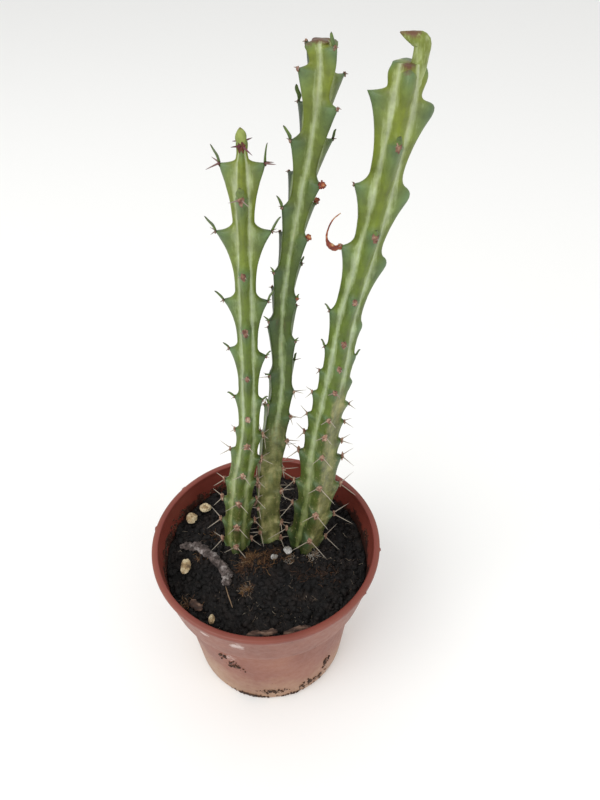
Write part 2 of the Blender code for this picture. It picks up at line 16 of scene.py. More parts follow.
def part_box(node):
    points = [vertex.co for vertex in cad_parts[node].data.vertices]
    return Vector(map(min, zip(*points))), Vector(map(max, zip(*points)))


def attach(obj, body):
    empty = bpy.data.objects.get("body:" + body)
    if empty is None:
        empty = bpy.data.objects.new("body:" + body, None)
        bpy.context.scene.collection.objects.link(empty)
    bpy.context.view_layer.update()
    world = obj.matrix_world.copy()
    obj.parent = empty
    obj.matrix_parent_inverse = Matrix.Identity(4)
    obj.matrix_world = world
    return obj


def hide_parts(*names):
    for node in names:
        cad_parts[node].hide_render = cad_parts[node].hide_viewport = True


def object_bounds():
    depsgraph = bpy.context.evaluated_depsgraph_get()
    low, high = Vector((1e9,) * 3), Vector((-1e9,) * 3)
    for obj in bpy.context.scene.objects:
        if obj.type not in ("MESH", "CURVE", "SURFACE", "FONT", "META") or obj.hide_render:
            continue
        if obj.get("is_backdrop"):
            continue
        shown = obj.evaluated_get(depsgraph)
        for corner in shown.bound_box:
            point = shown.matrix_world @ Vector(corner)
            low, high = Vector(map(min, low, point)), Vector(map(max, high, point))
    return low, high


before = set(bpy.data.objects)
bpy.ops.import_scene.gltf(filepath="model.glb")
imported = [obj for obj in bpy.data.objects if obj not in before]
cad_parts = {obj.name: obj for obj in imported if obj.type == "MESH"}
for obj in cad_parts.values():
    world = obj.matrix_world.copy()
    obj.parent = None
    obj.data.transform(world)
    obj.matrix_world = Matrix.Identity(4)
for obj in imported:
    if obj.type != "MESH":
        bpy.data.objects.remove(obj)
cad_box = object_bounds()
MM = 0.001

# ---- The pot ----
# A thin nursery pot of injection-moulded polypropylene, coloured like terracotta. It is turned
# round one profile: a flat lip, a collar that makes pots stack, a step and a tapering body.
# Handling and watering have left dust, lime and dried soil on the outside.

_, pot_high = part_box("pot")
RIM_RADIUS = pot_high.x / MM
POT_HEIGHT = pot_high.z / MM
LIP_WIDTH = 2.4
LIP_HEIGHT = 1.8
LIP_OVERHANG = 0.6
COLLAR_HEIGHT = 19.0
COLLAR_TAPER = 3.5
COLLAR_STEP = 3.4
STEP_HEIGHT = 1.6
BODY_TAPER = 4.2
WALL = 1.1
FLOOR = 1.8
FOOT_ROUND = 1.5
POT_SIDES = 180
HOLE_COUNT = 4
HOLE_RADIUS = 3.0
HOLE_RING_RADIUS = 19.0
COLLAR_BOTTOM = POT_HEIGHT - COLLAR_HEIGHT
COLLAR_RADIUS = RIM_RADIUS - LIP_OVERHANG - COLLAR_TAPER
BODY_RADIUS = COLLAR_RADIUS - COLLAR_STEP
BASE_RADIUS = BODY_RADIUS - BODY_TAPER
MOUTH_RADIUS = RIM_RADIUS - LIP_WIDTH
LIP_BOTTOM = POT_HEIGHT - LIP_HEIGHT

INNER_PROFILE = (
    (0.0, FLOOR),
    (BASE_RADIUS - WALL - FOOT_ROUND, FLOOR),
    (BASE_RADIUS - WALL, FLOOR + FOOT_ROUND),
    (BODY_RADIUS - WALL, COLLAR_BOTTOM - STEP_HEIGHT / 2),
    (COLLAR_RADIUS - WALL, COLLAR_BOTTOM + STEP_HEIGHT / 2),
    (MOUTH_RADIUS, LIP_BOTTOM),
    (MOUTH_RADIUS, POT_HEIGHT - LIP_HEIGHT / 4),
    (MOUTH_RADIUS + LIP_HEIGHT / 4, POT_HEIGHT),
)
OUTER_PROFILE = (
    (RIM_RADIUS - LIP_HEIGHT / 4, POT_HEIGHT),
    (RIM_RADIUS, POT_HEIGHT - LIP_HEIGHT / 4),
    (RIM_RADIUS, LIP_BOTTOM),
    (RIM_RADIUS - LIP_OVERHANG, LIP_BOTTOM - LIP_OVERHANG / 2),
    (COLLAR_RADIUS, COLLAR_BOTTOM),
    (COLLAR_RADIUS - COLLAR_STEP * 0.6, COLLAR_BOTTOM - STEP_HEIGHT * 0.4),
    (BODY_RADIUS, COLLAR_BOTTOM - STEP_HEIGHT),
    (BASE_RADIUS, FOOT_ROUND),
    (BASE_RADIUS - FOOT_ROUND * 0.3, FOOT_ROUND * 0.3),
    (BASE_RADIUS - FOOT_ROUND, 0.0),
    (0.0, 0.0),
)


def linear(code):
    """An sRGB hex colour as linear RGBA."""
    values = [int(code[i : i + 2], 16) / 255 for i in (1, 3, 5)]
    turned = [v / 12.92 if v <= 0.04045 else ((v + 0.055) / 1.055) ** 2.4 for v in values]
    return (*turned, 1.0)


def add(tree, kind, feeds=(), stops=(), **settings):
    """Adds a node with its settings, and feeds its inputs with values, colours or other nodes.

    feeds are by the inputs' names, or in their order. stops are those of a colour ramp.
    """
    node = tree.nodes.new("ShaderNode" + kind)
    for name, value in settings.items():
        setattr(node, name, value)
    for name, value in feeds.items() if isinstance(feeds, dict) else enumerate(feeds):
        source = value.outputs[0] if isinstance(value, bpy.types.Node) else value
        if isinstance(source, bpy.types.NodeSocket):
            tree.links.new(source, node.inputs[name])
        else:
            node.inputs[name].default_value = linear(source) if isinstance(source, str) else source
    for i, (place, colour) in enumerate(stops):
        elements = node.color_ramp.elements
        element = elements[i] if i < 2 else elements.new(place)
        element.position = place
        element.color = linear(colour) if isinstance(colour, str) else (colour,) * 3 + (1.0,)
    return node


def new_material(name, ior):
    """A material, the tree to add nodes to, its shader, and the place on the object in metres."""
    material = bpy.data.materials.new(name)
    material.use_nodes = True
    tree = material.node_tree
    shader = tree.nodes["Principled BSDF"]
    shader.inputs["IOR"].default_value = ior
    shader.inputs["Metallic"].default_value = 0.0
    return material, tree, shader, add(tree, "TexCoord").outputs["Object"]


NOISE_LOW, NOISE_HIGH = 0.3, 0.7  # nearly all of a noise pattern lies between these


def surface(tree, shader, colour, grain, roughness, relief=None, pattern=None):
    """Gives a shader its colour, a roughness that follows a grain, and a fine relief.

    roughness is at the grain's low and high places, and relief is a bump's strength and its
    depth in metres. The bump follows the pattern, or the grain if there is none.
    """
    tree.links.new(colour.outputs[0], shader.inputs["Base Color"])
    low, high = roughness
    dull = add(tree, "MapRange", (grain, NOISE_LOW, NOISE_HIGH, low, high))
    tree.links.new(dull.outputs[0], shader.inputs["Roughness"])
    if relief:
        strength, depth = relief
        feeds = {"Strength": strength, "Distance": depth, "Height": pattern or grain}
        tree.links.new(add(tree, "Bump", feeds).outputs[0], shader.inputs["Normal"])


def new_piece(name, points, faces, material, slot_name, nodes=(), **marks):
    """A smooth piece from points in millimetres. marks are values kept at its points."""
    mesh = bpy.data.meshes.new(name)
    mesh.from_pydata([Vector(point) * MM for point in points], [], faces)
    for mark, values in marks.items():
        mesh.attributes.new(mark, "FLOAT", "POINT").data.foreach_set("value", values)
    mesh.shade_smooth()
    mesh.materials.append(material)
    piece = bpy.data.objects.new(name, mesh)
    bpy.context.scene.collection.objects.link(piece)
    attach(piece, "root")
    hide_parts(*nodes)
    return piece


def ring_faces(rings, sides):
    """The faces between rings of points that follow each other."""
    faces = []
    for ring in range(rings - 1):
        for k in range(sides):
            a, b = ring * sides + k, ring * sides + (k + 1) % sides
            faces.append((a, b, b + sides, a + sides))
    return faces


def tube_faces(rings, sides):
    """The faces of rings of points that make a tube, closed at both ends."""
    ends = [tuple(range(sides))[::-1], tuple(range((rings - 1) * sides, rings * sides))]
    return ring_faces(rings, sides) + ends


def inner_radius(height):
    """The radius of the pot's inner wall at a height above its floor."""
    for (r0, z0), (r1, z1) in zip(INNER_PROFILE[1:-1], INNER_PROFILE[2:]):
        if z0 <= height <= z1 and z1 > z0:
            return r0 + (r1 - r0) * (height - z0) / (z1 - z0)
    return MOUTH_RADIUS


def outer_radius(height):
    """The radius of the pot's outside at a height."""
    for (r0, z0), (r1, z1) in zip(OUTER_PROFILE[:-1], OUTER_PROFILE[1:]):
        if z1 <= height <= z0 and z0 > z1:
            return r1 + (r0 - r1) * (height - z1) / (z0 - z1)
    return RIM_RADIUS


LONGEST_ARM = 0.45  # share of a side that a corner's rounding takes at most
ROUNDING_STEPS = 4


def softened(profile, step, reach):
    """The profile with a point about every step, and each corner cut back by reach and rounded."""
    out = [profile[0]]
    for before, corner, after in zip(profile[:-2], profile[1:-1], profile[2:]):
        arms = [Vector(end) - Vector(corner) for end in (before, after)]
        arms = [arm.normalized() * min(reach, arm.length * LONGEST_ARM) for arm in arms]
        for i in range(ROUNDING_STEPS + 1):
            t = i / ROUNDING_STEPS
            rounding = arms[0] * (1 - t) ** 2 + arms[1] * t**2
            out.append(tuple(Vector(corner) + rounding))
    out.append(profile[-1])
    full = []
    for a, b in zip(out[:-1], out[1:]):
        count = max(1, round((Vector(b) - Vector(a)).length / step))
        full += [tuple(Vector(a).lerp(Vector(b), i / count)) for i in range(count)]
    return full + [out[-1]]


POT_STEP = 2.2  # between the rows of points up the wall
CORNER_REACH = 0.5  # how far each side of a corner its rounding starts
OUT_OF_ROUND = 0.12  # thin moulded walls are never quite round
WARP_HEIGHT = 40.0  # the wall's warp changes over about this height
LIP_WEAR = 0.35  # how far the outside's wear shows on the lip, where the body's is 1

pot_points = []
pot_outside = []
profile = softened(INNER_PROFILE + OUTER_PROFILE, POT_STEP, CORNER_REACH)[1:-1]
turn_over = next(i for i, (_, z) in enumerate(profile) if z >= POT_HEIGHT - 0.01)
for row, (radius, level) in enumerate(profile):
    for side in range(POT_SIDES):
        bearing = math.tau * side / POT_SIDES
        cos, sin = math.cos(bearing), math.sin(bearing)
        warp = OUT_OF_ROUND * noise.noise(Vector((cos, sin, level / WARP_HEIGHT)))
        warped = radius + warp * radius / RIM_RADIUS
        pot_points.append((warped * cos, warped * sin, level))
        beyond_lip = row > turn_over and level < LIP_BOTTOM
        pot_outside.append(LIP_WEAR * (row > turn_over) + (1 - LIP_WEAR) * beyond_lip)
pot_faces = [(a, d, c, b) for a, b, c, d in ring_faces(len(profile), POT_SIDES)]
for row, turn in ((0, 1), (len(profile) - 1, -1)):
    pot_points.append((0.0, 0.0, profile[row][1]))
    pot_outside.append(float(row > 0))
    for side in range(POT_SIDES):
        a = row * POT_SIDES + side
        b = row * POT_SIDES + (side + 1) % POT_SIDES
        pot_faces.append((a, b, len(pot_points) - 1)[::turn])

SCUFFS = (  # x, y and height of the middle, and how far it reaches
    ((-8.5, -40.0, 58.0), 5.0),
    ((-19.8, -36.2, 58.7), 3.2),
    ((-14.0, -33.0, 34.0), 5.0),
)

# Moulded polypropylene: a soft satin sheen, dulled outside by a film of dust that thickens
# towards the foot, with pale lime stains and dried peat in specks and smears.
plastic, tree, shader, place = new_material("moulded_polypropylene", ior=1.49)
height = add(tree, "SeparateXYZ", (place,)).outputs["Z"]
outside = add(tree, "Attribute", attribute_name="outside").outputs["Fac"]
broad = add(tree, "TexNoise", {"Vector": place, "Scale": 45.0, "Detail": 4.0})
fine = add(tree, "TexNoise", {"Vector": place, "Scale": 420.0, "Detail": 5.0, "Roughness": 0.7})
clean = add(tree, "ValToRGB", (broad,), [(0.3, "#6f2f25"), (0.7, "#813c30")])
worn = add(tree, "ValToRGB", (broad,), [(0.3, "#74402f"), (0.5, "#824b38"), (0.72, "#905c46")])
coloured = add(tree, "MixRGB", (outside, clean, worn))
rightward = add(tree, "SeparateXYZ", (place,)).outputs["X"]
# The dust lies thicker on the left, and towards the foot.
leftward = add(tree, "MapRange", (rightward, 0.005, -0.030, 0.0, 0.16))
downward = add(tree, "MapRange", (height, 0.030, 0.001, -0.32, 0.40))
dust = add(tree, "Math", (downward, leftward), operation="ADD")
film = add(tree, "TexNoise", {"Vector": place, "Scale": 75.0, "Detail": 6.0, "Roughness": 0.7})
patchy = add(tree, "Math", (dust, film), operation="ADD")
patchy = add(tree, "MapRange", (patchy, 0.45, 0.95, 0.0, 0.85))
dusty = add(tree, "Math", (patchy, outside), operation="MULTIPLY")
dusted = add(tree, "MixRGB", (dusty, coloured, "#a58468"))
specks = add(tree, "ValToRGB", (fine,), [(0.64, 0.0), (0.69, 1.0)])
specked = add(tree, "Math", (specks, outside), operation="MULTIPLY")
specked = add(tree, "Math", (specked, 0.6), operation="MULTIPLY")
dotted = add(tree, "MixRGB", (specked, dusted, "#5a4236"))
# White scuffs where the collar has rubbed against other pots.
frayed = add(tree, "Mapping", {"Vector": place, "Scale": (1.0, 1.0, 2.2)})
fray = add(tree, "TexNoise", {"Vector": frayed, "Scale": 520.0, "Detail": 5.0, "Roughness": 0.75})
for scuff_place, scuff_reach in SCUFFS:
    middle = [v * MM for v in scuff_place]
    away = add(tree, "VectorMath", (place, middle), operation="DISTANCE").outputs["Value"]
    near = add(tree, "MapRange", (away, 0.0, scuff_reach * MM, 0.25, -0.2))
    worn_away = add(tree, "Math", (near, fray), operation="ADD")
    worn_away = add(tree, "ValToRGB", (worn_away,), [(0.52, 0.0), (0.62, 0.75)])
    dotted = add(tree, "MixRGB", (worn_away, dotted, "#c9b6b0"))
# Peat splashed up the inside, thickest just above the soil.
splash = add(tree, "TexNoise", {"Vector": place, "Scale": 130.0, "Detail": 6.0, "Roughness": 0.75})
near_soil = add(tree, "MapRange", (height, 0.062, 0.053, -0.22, 0.16))
reached = add(tree, "Math", (splash, near_soil), operation="ADD")
caught = add(tree, "ValToRGB", (reached,), [(0.50, 0.0), (0.56, 0.9)])
within = add(tree, "Math", (1.0, outside), operation="SUBTRACT")
caught = add(tree, "Math", (caught, within), operation="MULTIPLY")
finished = add(tree, "MixRGB", (caught, dotted, "#2a1b15"))
surface(tree, shader, finished, fine, (0.38, 0.55), (0.25, 0.0002))

HOLE_SIDES = 32
DRILL_DEPTH = 0.01  # in metres, well through the floor
SHARP_FROM = 50  # degrees between faces from which an edge is drawn sharp

pot = new_piece(
    "pot_shell", pot_points, pot_faces, plastic, "terracotta_plastic", ["pot"], outside=pot_outside
)
for i in range(HOLE_COUNT):
    bearing = math.tau * (i + 0.5) / HOLE_COUNT
    bm = bmesh.new()
    size = HOLE_RADIUS * MM
    bmesh.ops.create_cone(
        bm, cap_ends=True, segments=HOLE_SIDES, radius1=size, radius2=size, depth=DRILL_DEPTH
    )
    middle = Vector((math.cos(bearing), math.sin(bearing), 0.0)) * HOLE_RING_RADIUS * MM
    bmesh.ops.translate(bm, vec=middle, verts=bm.verts)
    drill_mesh = bpy.data.meshes.new("drill")
    bm.to_mesh(drill_mesh)
    bm.free()
    drill = bpy.data.objects.new("drill", drill_mesh)
    bpy.context.scene.collection.objects.link(drill)
    cut = pot.modifiers.new("hole", "BOOLEAN")
    cut.object = drill
    cut.solver = "EXACT"
    graph = bpy.context.evaluated_depsgraph_get()
    holed = bpy.data.meshes.new_from_object(pot.evaluated_get(graph))
    pot.modifiers.clear()
    pot.data = holed
    bpy.data.objects.remove(drill)
pot.data.set_sharp_from_angle(angle=math.radians(SHARP_FROM))

# Small nubs of flash that the mould left on the rim.
NUBS = (-7.0, -34.0, 173.7, 144.3)  # bearings in degrees
NUB_SIZES = (0.75, 1.1, 0.7)  # half sizes: out, along the rim and up
NUB_SET_IN = 0.35
NUB_DENT = 0.5
NUB_WEAR = 0.3
DENT_SPACING = 1.8  # dents across a lump's half size


def lump_of(centre, axes, sizes, dent, seed, rounds=2, mark=0.0):
    """(points, faces, marks) of a rough rounded lump, with its half sizes along three axes."""
    bm = bmesh.new()
    bmesh.ops.create_icosphere(bm, subdivisions=rounds, radius=1.0)
    shift = Vector((seed, seed * 0.37, 0.0))
    points = []
    for vert in bm.verts:
        swell = 1 + dent * noise.noise(vert.co * DENT_SPACING + shift)
        local = Vector([a * b * swell for a, b in zip(vert.co, sizes)])
        points.append(centre + axes @ local)
    faces = [tuple(vert.index for vert in face.verts) for face in bm.faces]
    bm.free()
    return points, faces, [mark] * len(points)


def joined(parts):
    """Several (points, faces, marks) bodies as one."""
    points, faces, marks = [], [], []
    for some_points, some_faces, some_marks in parts:
        faces += [tuple(i + len(points) for i in face) for face in some_faces]
        points += some_points
        marks += some_marks
    return points, faces, marks


bodies = []
for degrees in NUBS:
    axes = Matrix.Rotation(math.radians(degrees), 3, "Z")
    centre = axes @ Vector((RIM_RADIUS - NUB_SET_IN, 0.0, POT_HEIGHT - LIP_HEIGHT / 2))
    bodies.append(lump_of(centre, axes, NUB_SIZES, NUB_DENT, degrees, mark=NUB_WEAR))
points, faces, nub_outside = joined(bodies)
new_piece("rim_nubs", points, faces, plastic, "terracotta_plastic", outside=nub_outside)

# ---- The stems ----
# Three young columns of a euphorbia. Each has four ribs with teeth in opposite pairs, a pale
# stripe down each groove, and corky skin near the soil. The right one has lost its tip.

Section = namedtuple("Section", "height x y tooth neck groove")
Stem = namedtuple("Stem", "turn twist flare sections nodes")
HEADSPACE = 11.0
SOIL_LEVEL = POT_HEIGHT - HEADSPACE
BURIED_END = -16.0
LEFT_Y = 4.0
MIDDLE_Y = 11.0
RIGHT_Y = 5.0
STEMS = {
    "stem_left": Stem(
        turn=0.0,
        twist=0.0,
        flare=2.3,
        sections=(
            Section(BURIED_END, -12.4, LEFT_Y, 4.4, 4.4, 3.3),
            Section(0, -11.8, LEFT_Y, 4.9, 4.6, 3.4),
            Section(6, -11.5, LEFT_Y, 5.8, 4.7, 3.4),
            Section(17, -10.5, LEFT_Y, 6.5, 4.7, 3.4),
            Section(29, -9.2, LEFT_Y, 6.3, 4.6, 3.3),
            Section(39, -8.0, LEFT_Y, 6.0, 4.4, 3.2),
            Section(51, -5.8, LEFT_Y, 5.7, 3.9, 2.9),
            Section(63, -4.1, LEFT_Y, 4.7, 3.4, 2.5),
            Section(76, -3.5, LEFT_Y, 4.6, 3.1, 2.3),
            Section(93, -2.8, LEFT_Y, 5.6, 3.0, 2.3),
            Section(111, -2.4, LEFT_Y, 6.4, 2.9, 2.2),
            Section(132, -1.8, LEFT_Y, 7.5, 2.8, 2.1),
            Section(143, -1.5, LEFT_Y, 7.0, 2.8, 2.1),
            Section(149.5, -1.2, LEFT_Y, 5.7, 1.8, 1.5),
            Section(152, -1.1, LEFT_Y, 3.0, 1.2, 1.0),
            Section(154, -1.0, LEFT_Y, 2.0, 1.0, 0.8),
            Section(155.5, -1.0, LEFT_Y, 0.8, 0.8, 0.6),
        ),
        nodes=(
            (5, 5), (7, 7), (16, 17), (19.5, 19.5), (28, 29), (32, 32), (38, 38.5), (46, 46),
            (49, 53.5), (59, 59), (60, 62.5), (70.5, 70.5), (75, 76.5), (87.5, 87.5),
            (92, 95), (104.5, 104.5), (111, 111.5), (122.5, 122.5), (132, 132), (143, 143),
            (149.5, 149.5), (154, 154),
        ),
    ),
    "stem_middle": Stem(
        turn=-33.0,
        twist=-0.123,
        flare=1.7,
        sections=(
            Section(BURIED_END, 0.6, MIDDLE_Y - 3, 4.4, 4.4, 3.3),
            Section(0, 0.8, MIDDLE_Y - 2.6, 5.2, 4.8, 3.5),
            Section(8, 0.7, MIDDLE_Y - 1.8, 6.0, 4.9, 3.5),
            Section(22, 0.8, MIDDLE_Y - 0.8, 6.2, 5.0, 3.5),
            Section(40, 2.0, MIDDLE_Y, 6.3, 5.1, 3.5),
            Section(58, 4.3, MIDDLE_Y, 6.0, 4.9, 3.4),
            Section(77, 6.8, MIDDLE_Y, 5.6, 4.2, 3.0),
            Section(96, 7.2, MIDDLE_Y, 6.1, 3.7, 2.7),
            Section(111, 8.3, MIDDLE_Y - 0.5, 5.4, 3.5, 2.5),
            Section(127, 10.8, MIDDLE_Y - 1, 5.7, 3.4, 2.4),
            Section(137, 12.6, MIDDLE_Y - 1, 6.2, 3.5, 2.4),
            Section(154, 15.8, MIDDLE_Y - 1.5, 7.2, 3.5, 2.5),
            Section(168, 17.5, MIDDLE_Y - 2, 7.2, 3.6, 2.5),
            Section(172.5, 17.5, MIDDLE_Y - 1.8, 5.9, 3.2, 2.2),
            Section(174, 17.3, MIDDLE_Y - 1.5, 5.3, 2.6, 1.8),
            Section(174.8, 17.3, MIDDLE_Y - 1.5, 2.2, 2.0, 1.4),
        ),
        nodes=(
            (3, 2), (8, 9), (12, 14), (21, 23), (29, 28), (33, 35), (40, 39), (45, 44), (54, 51),
            (57, 57), (65, 64), (70.5, 69.5), (75.5, 76), (82.5, 82.5), (95.5, 95),
            (102.5, 103), (110, 109.5), (118.5, 117.5), (129, 127), (137.5, 135.5), (143.5, 143.5),
            (154.5, 152), (162, 160.5), (170, 167), (174, 173.6),
        ),
    ),
    "stem_right": Stem(
        turn=0.0,
        twist=0.0,
        flare=2.0,
        sections=(
            Section(BURIED_END, 13.9, RIGHT_Y, 5.0, 5.0, 3.8),
            Section(0, 14.6, RIGHT_Y, 6.2, 5.6, 4.2),
            Section(8, 15.5, RIGHT_Y, 8.2, 6.2, 4.4),
            Section(22, 17.7, RIGHT_Y, 8.1, 6.2, 4.4),
            Section(36, 18.9, RIGHT_Y, 8.4, 6.2, 4.3),
            Section(50.5, 19.5, RIGHT_Y, 7.7, 5.9, 4.0),
            Section(58.5, 20.2, RIGHT_Y, 6.5, 5.4, 3.8),
            Section(67, 21.1, RIGHT_Y, 6.5, 5.2, 3.6),
            Section(75, 22.3, RIGHT_Y, 6.5, 4.9, 3.5),
            Section(84, 23.6, RIGHT_Y, 5.5, 4.5, 3.3),
            Section(93, 24.7, RIGHT_Y, 5.1, 4.2, 3.1),
            Section(105, 26.0, RIGHT_Y, 5.4, 4.1, 3.0),
            Section(125, 30.0, RIGHT_Y, 7.0, 4.0, 3.0),
            Section(142, 33.1, RIGHT_Y, 7.5, 4.1, 3.1),
            Section(163, 36.0, RIGHT_Y, 8.1, 4.1, 3.1),
            Section(166, 36.2, RIGHT_Y, 8.2, 4.0, 3.1),
            Section(170.5, 36.5, RIGHT_Y, 3.9, 3.6, 2.9),
            Section(171.3, 36.5, RIGHT_Y, 3.5, 3.4, 2.8),
        ),
        nodes=(
            (5, 10), (12.5, 12.5), (18.5, 25), (27, 27), (35, 37), (41.5, 41.5), (49, 52), (55, 55),
            (56.5, 60.5), (63.5, 63.5), (65, 68.5), (71, 71), (72.5, 77.5), (81.5, 81.5),
            (82, 86), (90, 90), (91.5, 95), (99, 99), (102.5, 107.5), (113.5, 113.5),
            (123, 127.5), (133, 133), (142, 144), (155.5, 155.5), (162.5, 165.5), (170.5, 170.5),
        ),
    ),
}
RINGS_PER_NODE = 9
COLUMNS_PER_RIB = 14
RIBS = 4
NOTCH = 0.3  # share of the way to the next tooth that the notch above a tooth takes
NOTCH_RISE = 0.15  # share of the way that the notch climbs
RIB_THINNING = 1.5  # how fast a rib narrows from the groove to its edge
EDGE_ROUNDING = 0.12  # share of a rib's width over which its edge is rounded
EDGE_SLOPE = 0.75  # the skin's slope where that rounding starts
ASKEW = Vector((0.3, 0.5, 0.8))  # a direction that no tube starts in
UP = Vector((0, 0, 1.0))
SMOOTH_RIB_FROM = 78.0  # above this height the right stem's outer rib has knobs without spines
KNOB_ROUNDING = 2  # rings that a knob's edge is rounded over, each way
KNOB_SWELL = 1.22  # makes up for what the rounding takes off a knob
SKIN_LUMP = 0.10  # how uneven green skin is
CORK_LUMP = 0.22  # and corky skin at the soil
CORK_TOP = 55.0
LUMP_SPACING = 1.6


def section_at(stem, height):
    """The stem's section at a height, on a smooth curve through its sections."""
    rows = stem.sections
    height = min(max(height, rows[0].height), rows[-1].height)
    i = max(k for k in range(len(rows) - 1) if rows[k].height <= height)
    before, low, high = rows[max(i - 1, 0)], rows[i], rows[i + 1]
    after = rows[min(i + 2, len(rows) - 1)]
    span = high.height - low.height
    t = (height - low.height) / span
    values = []
    for a, b, c, d in zip(before[1:], low[1:], high[1:], after[1:]):
        slope_low = (c - a) / (high.height - before.height) * span
        slope_high = (d - b) / (after.height - low.height) * span
        values.append(
            b * (1 + 2 * t) * (1 - t) ** 2
            + slope_low * t * (1 - t) ** 2
            + c * t * t * (3 - 2 * t)
            - slope_high * t * t * (1 - t)
        )
    return Section(height, *values)


def rib_keys(stem, rib):
    """(ring, height) of the rib's lowest point, each of its teeth, and its top."""
    rings = (len(stem.nodes) + 1) * RINGS_PER_NODE
    keys = [(0, stem.sections[0].height)]
    for node, heights in enumerate(stem.nodes):
        if node % 2 == rib % 2:
            height = heights[0] if rib in (0, 3) else heights[1]
            keys.append(((node + 1) * RINGS_PER_NODE, height))
    return keys + [(rings, stem.sections[-1].height)]


def rib_at(keys, ring, bend):
    """(height, reach) of a rib's edge at a ring: reach is 1 at a tooth's tip, 0 at the neck."""
    low, high = next((a, b) for a, b in zip(keys[:-1], keys[1:]) if a[0] <= ring <= b[0])
    way = (ring - low[0]) / (high[0] - low[0])
    if way < NOTCH:
        arc = way / NOTCH * math.pi / 2
        reach, climb = 1 - math.sin(arc), NOTCH_RISE * (1 - math.cos(arc))
    else:
        flare = (way - NOTCH) / (1 - NOTCH)
        reach, climb = flare**bend, NOTCH_RISE + (1 - NOTCH_RISE) * flare
    return low[1] + (high[1] - low[1]) * climb, reach


def bearing_of(stem, rib, height):
    """The direction that a rib, or a share of the way to the next one, points in at a height."""
    return math.radians(stem.turn + stem.twist * height + rib * 360 / RIBS)


def tooth_of(stem, rib, node):
    """The tip of a tooth, and the level direction that it points in."""
    height = stem.nodes[node][0 if rib in (0, 3) else 1]
    section = section_at(stem, height)
    bearing = bearing_of(stem, rib, height)
    outward = Vector((math.cos(bearing), math.sin(bearing), 0.0))
    return Vector((section.x, section.y, SOIL_LEVEL + height)) + outward * section.tooth, outward


def rib_fullness(nearness):
    """How far out the skin is, from 0 in the groove to 1 on the rib's rounded edge."""
    joint = 1 - EDGE_ROUNDING
    crest = joint**RIB_THINNING + EDGE_SLOPE * EDGE_ROUNDING
    if nearness <= joint:
        return nearness**RIB_THINNING / crest
    return 1 - EDGE_SLOPE * (1 - nearness) ** 2 / EDGE_ROUNDING / crest


def clamped(value):
    """The value, kept between 0 and 1."""
    return max(0.0, min(1.0, value))


def tube_of(route, radii, sides, mark=None):
    """(points, faces, marks) of a closed tube through a route.

    The marks are all the one given. Without one they run from 0 to 1 along the route.
    """
    points, marks = [], []
    side = ASKEW.cross(route[1] - route[0]).normalized()
    for i, (centre, radius) in enumerate(zip(route, radii)):
        ahead = route[min(i + 1, len(route) - 1)] - route[max(i - 1, 0)]
        ahead.normalize()
        side = (side - ahead * side.dot(ahead)).normalized()
        for k in range(sides):
            turned = Matrix.Rotation(math.tau * k / sides, 3, ahead) @ side
            points.append(centre + turned * radius)
            marks.append(i / (len(route) - 1) if mark is None else mark)
    return points, tube_faces(len(route), sides), marks


# Euphorbia skin: waxy and half matt. Olive ribs between broad pale stripes with feathered,
# streaky borders, grey-green teeth, yellower young growth, and old skin mottled with tan cork.
skin, tree, shader, place = new_material("waxy_succulent_skin", ior=1.45)
marks = {
    mark: add(tree, "Attribute", attribute_name=mark).outputs["Fac"]
    for mark in ("rib", "reach", "age", "tan", "shaded", "scar")
}
mottle = add(tree, "TexNoise", {"Vector": place, "Scale": 240.0, "Detail": 4.0, "Roughness": 0.6})
patches = add(tree, "TexNoise", {"Vector": place, "Scale": 95.0, "Detail": 3.0})
stretch = add(tree, "Mapping", {"Vector": place, "Scale": (1.0, 1.0, 0.18)})
feeds = {"Vector": stretch, "Scale": 900.0, "Detail": 4.0, "Roughness": 0.7}
streaks = add(tree, "TexNoise", feeds)
specks = add(tree, "TexNoise", {"Vector": place, "Scale": 1100.0, "Detail": 2.0})
feather = add(tree, "MapRange", (streaks, 0.3, 0.7, -0.2, 0.2))
wander = add(tree, "MapRange", (patches, 0.3, 0.7, -0.14, 0.14))
border = add(tree, "Math", (feather, wander), operation="ADD")
rib_place = add(tree, "Math", (marks["rib"], border), operation="ADD")
young = add(
    tree, "ValToRGB", (rib_place,),
    [(0.0, "#b9c396"), (0.23, "#a5b172"), (0.41, "#7f8b36"), (0.7, "#788527"), (1.0, "#7e8a28")],
)
grown = add(
    tree, "ValToRGB", (rib_place,),
    [(0.0, "#afbe96"), (0.30, "#94a56c"), (0.49, "#637626"), (1.0, "#5b701e")],
)
old = add(
    tree, "ValToRGB", (rib_place,),
    [(0.0, "#98a269"), (0.28, "#7f8a49"), (0.46, "#4c5c25"), (1.0, "#525825")],
)
youth = add(tree, "MapRange", (marks["age"], 0.66, 0.96, 0.0, 1.0))
greening = add(tree, "MapRange", (marks["age"], 0.10, 0.42, 0.0, 1.0))
lower = add(tree, "MixRGB", (greening, old, grown))
ground = add(tree, "MixRGB", (youth, lower, young))
whitish = add(tree, "ValToRGB", (streaks,), [(0.56, 0.0), (0.70, 0.55)])
groove = add(tree, "MapRange", (rib_place, 0.5, 0.2, 0.0, 1.0))
whitish = add(tree, "Math", (whitish, groove), operation="MULTIPLY")
bloomed = add(tree, "MixRGB", (whitish, ground, "#c6c999"))
tooth = add(tree, "Math", (marks["reach"], marks["rib"]), operation="MULTIPLY")
toothed = add(tree, "MapRange", (tooth, 0.12, 0.75, 0.0, 0.8))
greyed = add(tree, "MixRGB", (toothed, bloomed, "#5f7a54"))
tanned = add(tree, "Math", (marks["tan"], border), operation="ADD")
tanned = add(tree, "MapRange", (tanned, 0.3, 0.7, 0.0, 0.8))
mingled = add(tree, "Math", (streaks, mottle), operation="ADD")
mingled = add(tree, "Math", (mingled, 0.5), operation="MULTIPLY")
